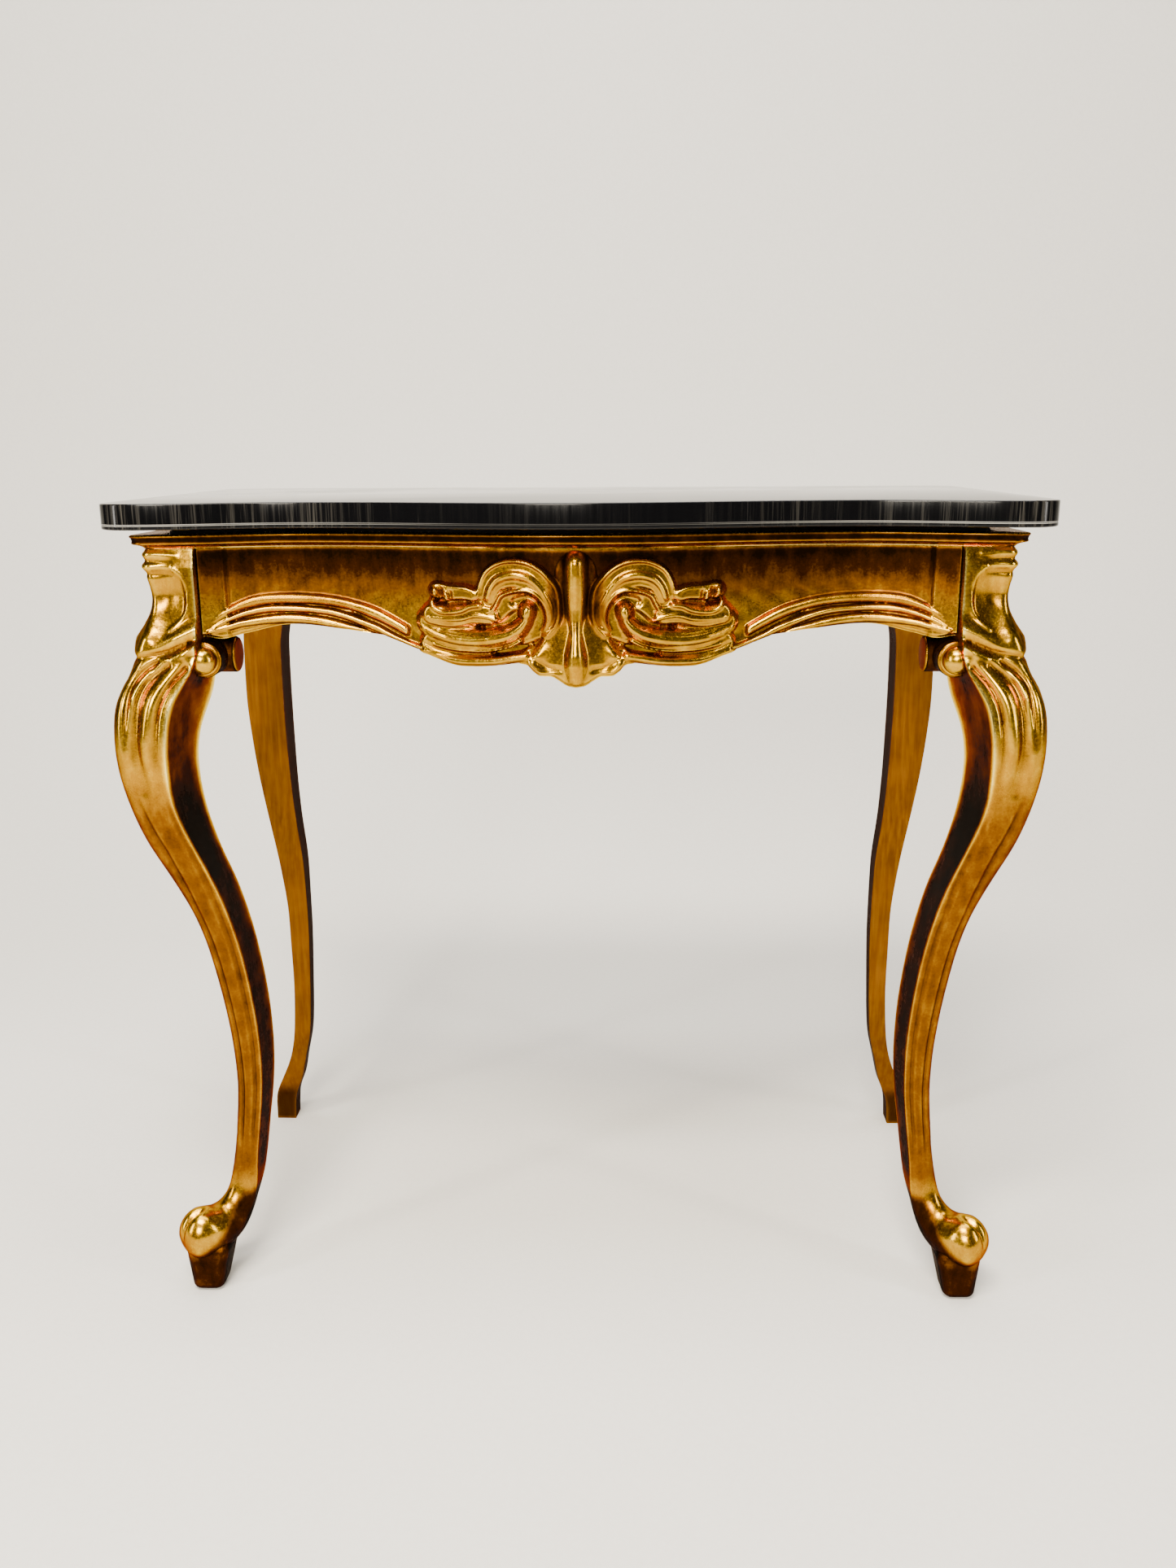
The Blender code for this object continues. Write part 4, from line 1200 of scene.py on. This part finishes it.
class CONSOLE_OT_slab(bpy.types.Operator):
    """Black serpentine slab with a polished face and a laser-cut edge"""

    bl_idname = "console.slab"
    bl_label = "Slab"

    def execute(self, context):
        sizes = context.scene.console_sizes
        outline = slab_outline(0, SLAB_CORNER)
        pick_nothing()
        bpy.ops.mesh.primitive_circle_add(vertices=len(outline), radius=HALF_WIDTH * MM, fill_type="NGON")
        slab = context.object
        slab.name = slab.data.name = "polished_slab"
        base = np.column_stack([outline, np.full(len(outline), SLAB_LOW[2])])
        slab.data.vertices.foreach_set("co", (base * MM).ravel())
        line_z = SLAB_LOW[2] + LINE_RISE
        to_top = SLAB_HIGH[2] - line_z - LINE_HALF_WIDTH
        with editing(slab):
            for rise in (LINE_RISE - LINE_HALF_WIDTH, LINE_HALF_WIDTH, LINE_HALF_WIDTH, to_top):
                bpy.ops.mesh.extrude_region_move(TRANSFORM_OT_translate={"value": (0, 0, rise * MM)})
        with editing(slab):
            bpy.ops.mesh.normals_make_consistent(inside=False)
        spots = np.empty(len(slab.data.vertices) * 3)
        slab.data.vertices.foreach_get("co", spots)
        spots = spots.reshape(-1, 3) / MM
        if abs(spots[:, 2].max() - SLAB_HIGH[2]) > 0.01:
            raise RuntimeError("the slab wasn't extruded to its full thickness")
        # The middle ring of the line is cut in.
        in_line = np.abs(spots[:, 2] - line_z) < 0.01
        inward = slab_outline(sizes.saw_line / MM, SLAB_CORNER - sizes.saw_line / MM)
        for i in np.nonzero(in_line)[0]:
            near = np.argmin(np.hypot(*(outline - spots[i, :2]).T))
            spots[i, :2] = inward[near]
        slab.data.vertices.foreach_set("co", (spots * MM).ravel())
        faces = (SLAB_LOW[2] * MM, SLAB_HIGH[2] * MM)
        with editing_edges(slab, lambda place: min(abs(place.z - face) for face in faces) < 0.01 * MM):
            bpy.ops.mesh.bevel(offset=sizes.arris, segments=4, affect="EDGES")
        finish_piece(slab, ["top_slab"], "black_cast_acrylic", 30)
        slab.data.materials.append(material_named("laser_cut_acrylic_edge"))
        for face in slab.data.polygons:
            face.material_index = 0 if abs(face.normal.z) > 0.8 else 1
        return {"FINISHED"}


class CONSOLE_OT_cornice(bpy.types.Operator):
    """Gilt moulding under the slab: a small fascia between two beads, over a cove"""

    bl_idname = "console.cornice"
    bl_label = "Cornice"

    def execute(self, context):
        self.run_rail("cornice_front", "rim_front", True)
        self.run_rail("cornice_rear", "rim_rear", False)
        low, high = [np.array(c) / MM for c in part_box("rim_right")]
        steps = np.linspace(low[1], high[1], 60)
        grid = [[(HALF_WIDTH - inset, y, z) for y in steps] for inset, z in CORNICE + CORNICE[:1]]
        right = self.close_rail("cornice_right", np.array(grid))
        left = mirror_copy(right, "cornice_left")
        for piece, node in ((right, "rim_right"), (left, "rim_left")):
            finish_piece(piece, [node], "burnished_gold_leaf", 50)
        return {"FINISHED"}

    def close_rail(self, name, grid):
        """A run as a closed body, from its section's points all along it."""
        piece = shaped_grid(name, grid)
        close_up(piece)
        note_relief(piece, 8, 0.4, cornice_painted_shade)
        return piece

    def run_rail(self, name, node, front):
        """The front or the rear run, with a short return at each end."""
        low, high = [np.array(c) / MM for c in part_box(node)]
        end_y = high[1] if front else low[1]
        rows = []
        for inset, z in CORNICE + CORNICE[:1]:
            # Further in, the turn at the corner is tighter.
            corner = max(1.3 - 0.5 * (inset - 1.8), 0.25)
            reach = HALF_WIDTH - inset - corner
            xs = np.linspace(-reach, reach, 420 if front else 120)
            ys = front_edge(xs) + inset if front else np.full_like(xs, HALF_DEPTH - inset)
            turn = np.radians(np.linspace(0, 90, 13))
            side = 1 if front else -1
            out, back = corner * np.cos(turn), side * corner * (1 - np.sin(turn))
            left = np.column_stack([-reach - out, ys[0] + back])
            right = np.column_stack([reach + out, ys[-1] + back])[::-1]
            along = np.linspace(0, 1, 26)[:-1]
            start = np.column_stack([left[0, 0] + 0 * along, end_y + (left[0, 1] - end_y) * along])
            finish = np.column_stack([right[-1, 0] + 0 * along, end_y + (right[-1, 1] - end_y) * along])[::-1]
            path = np.vstack([start, left, np.column_stack([xs, ys])[1:-1], right, finish])
            rows.append(np.column_stack([path, np.full(len(path), z)]))
        piece = self.close_rail(name, np.array(rows))
        finish_piece(piece, [node], "burnished_gold_leaf", 50)


class CONSOLE_OT_front_rail(bpy.types.Operator):
    """Serpentine front rail with reeds along its shaped lower edge"""

    bl_idname = "console.front_rail"
    bl_label = "Front rail"

    def execute(self, context):
        reed = context.scene.console_sizes.reed / MM
        xs = np.linspace(-JOINT_X - 0.2, JOINT_X + 0.2, 621)
        low_z = lower_edge(xs)
        rings = rail_shell(low_z, lambda z: front_rail_face(xs, z, reed), APRON_THICKNESS - 0.3)
        y = front_edge(xs)[:, None] + APRON_INSET + 0.3 + rings[..., 0]
        points = np.stack([xs[:, None] + 0 * y, y, rings[..., 1]], -1)
        piece = wrapped("reeded_front_rail", points)
        note_relief(piece, 12, 0.42, rail_painted_shade)
        finish_piece(piece, ["front_apron"], "burnished_gold_leaf", 55)
        return {"FINISHED"}


class CONSOLE_OT_side_rails(bpy.types.Operator):
    """Side rails, reeded along an arched lower edge"""

    bl_idname = "console.side_rails"
    bl_label = "Side rails"

    def execute(self, context):
        reed = context.scene.console_sizes.reed / MM
        low, high = [np.array(c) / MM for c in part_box("right_apron")]
        ys = np.linspace(low[1], high[1], 261)
        share = (ys - ys.mean()) / (np.ptp(ys) / 2)
        low_z = low[2] + 1.4 * (0.5 + 0.5 * np.cos(math.pi * np.clip(share, -1, 1)))

        def face(z):
            above = z - low_z[:, None]
            across = np.abs(share)[:, None] * np.ptp(ys) / 2 + 0 * z
            half = np.ptp(ys) / 2
            panel = smooth_step(half - 1.75, half - 2.05, across)
            height = 0.28 * (1 - panel) - 0.16 * bump(across, half - 1.9, 0.13)
            height += panel * 0.2 * smooth_step(62.6, 66.0, z)
            for middle, width, rise in ((0.48, 0.46, 1.05), (1.26, 0.32, 0.92), (1.98, 0.44, 1.1)):
                t = (above - middle) / width
                height = np.maximum(
                    height, np.where(np.abs(t) < 1, reed * rise * np.clip(1 - t * t, 0, 1) ** 0.7, -9),
                )
            return height

        rings = rail_shell(low_z, face, high[0] - low[0] - 0.3)
        x = high[0] - 0.3 - rings[..., 0]
        right = wrapped("reeded_side_rail_right", np.stack([x, ys[:, None] + 0 * x, rings[..., 1]], -1))
        note_relief(right, 12, 0.42, rail_painted_shade)
        left = mirror_copy(right, "reeded_side_rail_left")
        for piece, node in ((right, "right_apron"), (left, "left_apron")):
            finish_piece(piece, [node], "burnished_gold_leaf", 55)
        return {"FINISHED"}


class CONSOLE_OT_centre_carving(bpy.types.Operator):
    """Carved rib and drop between a pair of C-scrolls, with horns and leaves"""

    bl_idname = "console.centre_carving"
    bl_label = "Centre carving"

    def execute(self, context):
        full = context.scene.console_sizes.carving / MM
        xs = np.linspace(-12.9, 12.9, 393)
        low_z = lower_edge(xs) - 0.05
        share = np.linspace(0, 1, 170)
        z = low_z[:, None] + (66.35 - low_z)[:, None] * share
        lift = centre_relief(xs, z, full)
        rim = smooth_step(0.45, 0, z - low_z[:, None])
        y = front_edge(xs)[:, None] + APRON_INSET - lift + 0.5 * rim**2 * np.clip(lift, 0, 2)
        front = np.stack([xs[:, None] + 0 * y, y, z], -1)
        back_y = front_edge(xs)[:, None] + APRON_INSET + 0.6
        back = np.stack([xs[:, None] + 0 * z[:, ::-12], back_y + 0 * z[:, ::-12], z[:, ::-12]], -1)
        piece = wrapped("centre_carving", np.concatenate([front, back], axis=1))
        note_relief(piece, 24, 1.0, carving_painted_shade)
        nodes = [
            "centre_rib", "lower_scroll_left", "lower_scroll_right", "upper_scroll_left",
            "upper_scroll_right",
        ]
        finish_piece(piece, nodes, "burnished_gold_leaf", 60)
        return {"FINISHED"}


class CONSOLE_OT_front_legs(bpy.types.Operator):
    """Carved cabriole legs with fluted knees, scroll ends and turned-up toes"""

    bl_idname = "console.front_legs"
    bl_label = "Front legs"

    def execute(self, context):
        sizes = context.scene.console_sizes
        corners = ((0, 0.6), (12, 0.5), (30, 0.6), (45, 1.0), (52, 1.2), (58, 1.0), (64, 0.8), (66.4, 0.6))
        rings = leg_rings(
            FRONT_SHAFT, FRONT_FOOT, corners, front_leg_relief(sizes.flute / MM), 14.0, 0.16,
        )
        right = wrapped("carved_leg_front_right", stand(rings, True))
        extras = scroll_end(True, sizes.barrel, sizes.ball) + scroll_end(False, sizes.barrel, sizes.ball)
        extras.append(foot_block())
        gather(right, extras)
        note_relief(right, 14, 0.55, leg_painted_shade)
        left = mirror_copy(right, "carved_leg_front_left")
        for piece, node in ((right, "leg_front_right"), (left, "leg_front_left")):
            finish_piece(piece, [node], "burnished_gold_leaf", 55)
        return {"FINISHED"}


class CONSOLE_OT_rear_legs(bpy.types.Operator):
    """Plain curved rear legs, square in section"""

    bl_idname = "console.rear_legs"
    bl_label = "Rear legs"

    def execute(self, context):
        rings = leg_rings(REAR_SHAFT, None, ((0, 0.3), (66.4, 0.35)), None, -0.01, 0.4)
        right = wrapped("plain_leg_rear_right", stand(rings, False))
        note_relief(right, 6, 0.4, rear_painted_shade)
        left = mirror_copy(right, "plain_leg_rear_left")
        for piece, node in ((right, "leg_rear_right"), (left, "leg_rear_left")):
            finish_piece(piece, [node], "satin_gold_paint", 40)
        return {"FINISHED"}


class CONSOLE_OT_frame_parts(bpy.types.Operator):
    """Finishes for the plain parts: board under the slab, back rail, corner blocks and dowels"""

    bl_idname = "console.frame_parts"
    bl_label = "Plain parts"

    def execute(self, context):
        for name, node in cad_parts.items():
            if node.hide_render:
                continue
            if name == "sub_top":
                finish = "black_stained_board"
            elif name == "rear_apron":
                # The back rail has no relief attribute, so the paint's painted shade darkens all of it.
                finish = "satin_gold_paint"
            else:
                finish = "bare_basswood"
            for slot in node.material_slots:
                slot.material = material_named(finish)
        return {"FINISHED"}


# The camera: its place in millimetres, its lens, and how far it turns right, looks down and rolls.
CAMERA_PLACE = (3.692, -118.334, 74.11)
CAMERA_LENS = 29.87
CAMERA_TURNS = (-1.58, 14.57, -0.298)


class CONSOLE_OT_stage(bpy.types.Operator):
    """Pale paper sweep, soft lights and the camera"""

    bl_idname = "console.stage"
    bl_label = "Stage"

    def execute(self, context):
        self.lay_paper(context)
        self.hang_lights(context)
        self.set_camera(context)
        return {"FINISHED"}

    def lay_paper(self, context):
        pick_nothing()
        bpy.ops.mesh.primitive_plane_add(size=1.0, location=(0, 0, 0))
        paper = context.object
        paper.name = paper.data.name = "paper_sweep"
        low, high = -0.7, 0.16  # front and back of the floor, in metres
        corners = [(-0.7, low, 0), (0.7, low, 0), (-0.7, high, 0), (0.7, high, 0)]
        paper.data.vertices.foreach_set("co", np.array(corners, float).ravel())
        # The far edge is drawn up into a wall, and the turn is rounded.
        with editing_edges(paper, lambda place: place.y > 0):
            bpy.ops.mesh.extrude_region_move(TRANSFORM_OT_translate={"value": (0, 0, 0.6)})
        with editing_edges(paper, lambda place: place.y > 0 and place.z < 0.3):
            bpy.ops.mesh.bevel(offset=0.09, segments=24, affect="EDGES")
        smooth(paper, 60)
        paper.data.materials.append(material_named("studio_paper"))

    def hang_lights(self, context):
        world = bpy.data.worlds.new("soft_room")
        world.use_nodes = True
        tree = world.node_tree
        tree.nodes.clear()
        # The room looks as pale as the paper but adds little light, so that the gilding keeps its depth.
        seen = add(tree, "ShaderNodeLightPath").outputs["Is Camera Ray"]
        strength = add(tree, "ShaderNodeMapRange", Value=seen, To_Min=0.04, To_Max=1.7)
        room = add(tree, "ShaderNodeBackground", Color="#E8E6E2", Strength=strength)
        add(tree, "ShaderNodeOutputWorld", Surface=room)
        context.scene.world = world
        target = Vector((0, 0, 0.036))
        # Name, place, width and height in metres, watts and colour.
        lamps = (
            ("softbox_above", (-0.03, -0.13, 0.25), 0.09, 0.05, 1.3, "#FFF6E6"),
            ("front_softbox", (-0.04, -0.27, 0.15), 0.08, 0.06, 1.0, "#FFF6E6"),
            ("strip_left", (-0.24, -0.17, 0.12), 0.025, 0.16, 0.5, "#FFF8EE"),
            ("strip_right", (0.25, -0.14, 0.12), 0.025, 0.16, 0.4, "#FFF8EE"),
            ("backdrop_lamp", (0.0, -0.02, 0.40), 0.30, 0.12, 1.5, "#FFFFFF"),
        )
        for name, place, wide, tall, power, colour in lamps:
            data = bpy.data.lights.new(name, "AREA")
            data.shape = "RECTANGLE"
            data.size, data.size_y = wide, tall
            data.energy = power
            data.color = from_hex(colour)
            lamp = bpy.data.objects.new(name, data)
            lamp.location = place
            lamp.rotation_euler = (target - Vector(place)).to_track_quat("-Z", "Y").to_euler()
            context.scene.collection.objects.link(lamp)

    def set_camera(self, context):
        yaw, pitch, roll = [math.radians(a) for a in CAMERA_TURNS]
        ahead = Vector((math.sin(yaw) * math.cos(pitch), math.cos(yaw) * math.cos(pitch), -math.sin(pitch)))
        right = Vector((math.cos(yaw), -math.sin(yaw), 0))
        up = right.cross(ahead)
        across = math.cos(roll) * right + math.sin(roll) * up
        upward = math.cos(roll) * up - math.sin(roll) * right
        data = bpy.data.cameras.new("camera")
        data.lens = CAMERA_LENS
        data.sensor_width = 36
        data.clip_start, data.clip_end = 0.002, 10
        camera = bpy.data.objects.new("camera", data)
        turn = Matrix((across, upward, -ahead)).transposed().to_4x4()
        camera.matrix_world = Matrix.Translation(Vector(CAMERA_PLACE) * MM) @ turn
        context.scene.collection.objects.link(camera)
        context.scene.camera = camera


class CONSOLE_PT_panel(bpy.types.Panel):
    """Sizes, colours and pieces of the console table"""

    bl_idname = "CONSOLE_PT_panel"
    bl_label = "Console table"
    bl_space_type = "VIEW_3D"
    bl_region_type = "UI"
    bl_category = "Console table"

    def draw(self, context):
        for group in (context.scene.console_sizes, context.scene.console_colours):
            box = self.layout.box()
            for name in group.__annotations__:
                box.prop(group, name)
        for operator in OPERATORS:
            self.layout.operator(operator.bl_idname)


OPERATORS = (
    CONSOLE_OT_slab,
    CONSOLE_OT_cornice,
    CONSOLE_OT_front_rail,
    CONSOLE_OT_side_rails,
    CONSOLE_OT_centre_carving,
    CONSOLE_OT_front_legs,
    CONSOLE_OT_rear_legs,
    CONSOLE_OT_frame_parts,
    CONSOLE_OT_stage,
)
CLASSES = (ConsoleTableSizes, ConsoleTableColours, *OPERATORS, CONSOLE_PT_panel)


def register():
    for item in CLASSES:
        bpy.utils.register_class(item)
    bpy.types.Scene.console_sizes = PointerProperty(type=ConsoleTableSizes)
    bpy.types.Scene.console_colours = PointerProperty(type=ConsoleTableColours)


def unregister():
    del bpy.types.Scene.console_colours
    del bpy.types.Scene.console_sizes
    for item in reversed(CLASSES):
        bpy.utils.unregister_class(item)


def main():
    register()
    bpy.ops.console.slab()
    bpy.ops.console.cornice()
    bpy.ops.console.front_rail()
    bpy.ops.console.side_rails()
    bpy.ops.console.centre_carving()
    bpy.ops.console.front_legs()
    bpy.ops.console.rear_legs()
    bpy.ops.console.frame_parts()
    bpy.ops.console.stage()


if __name__ == "__main__":
    main()
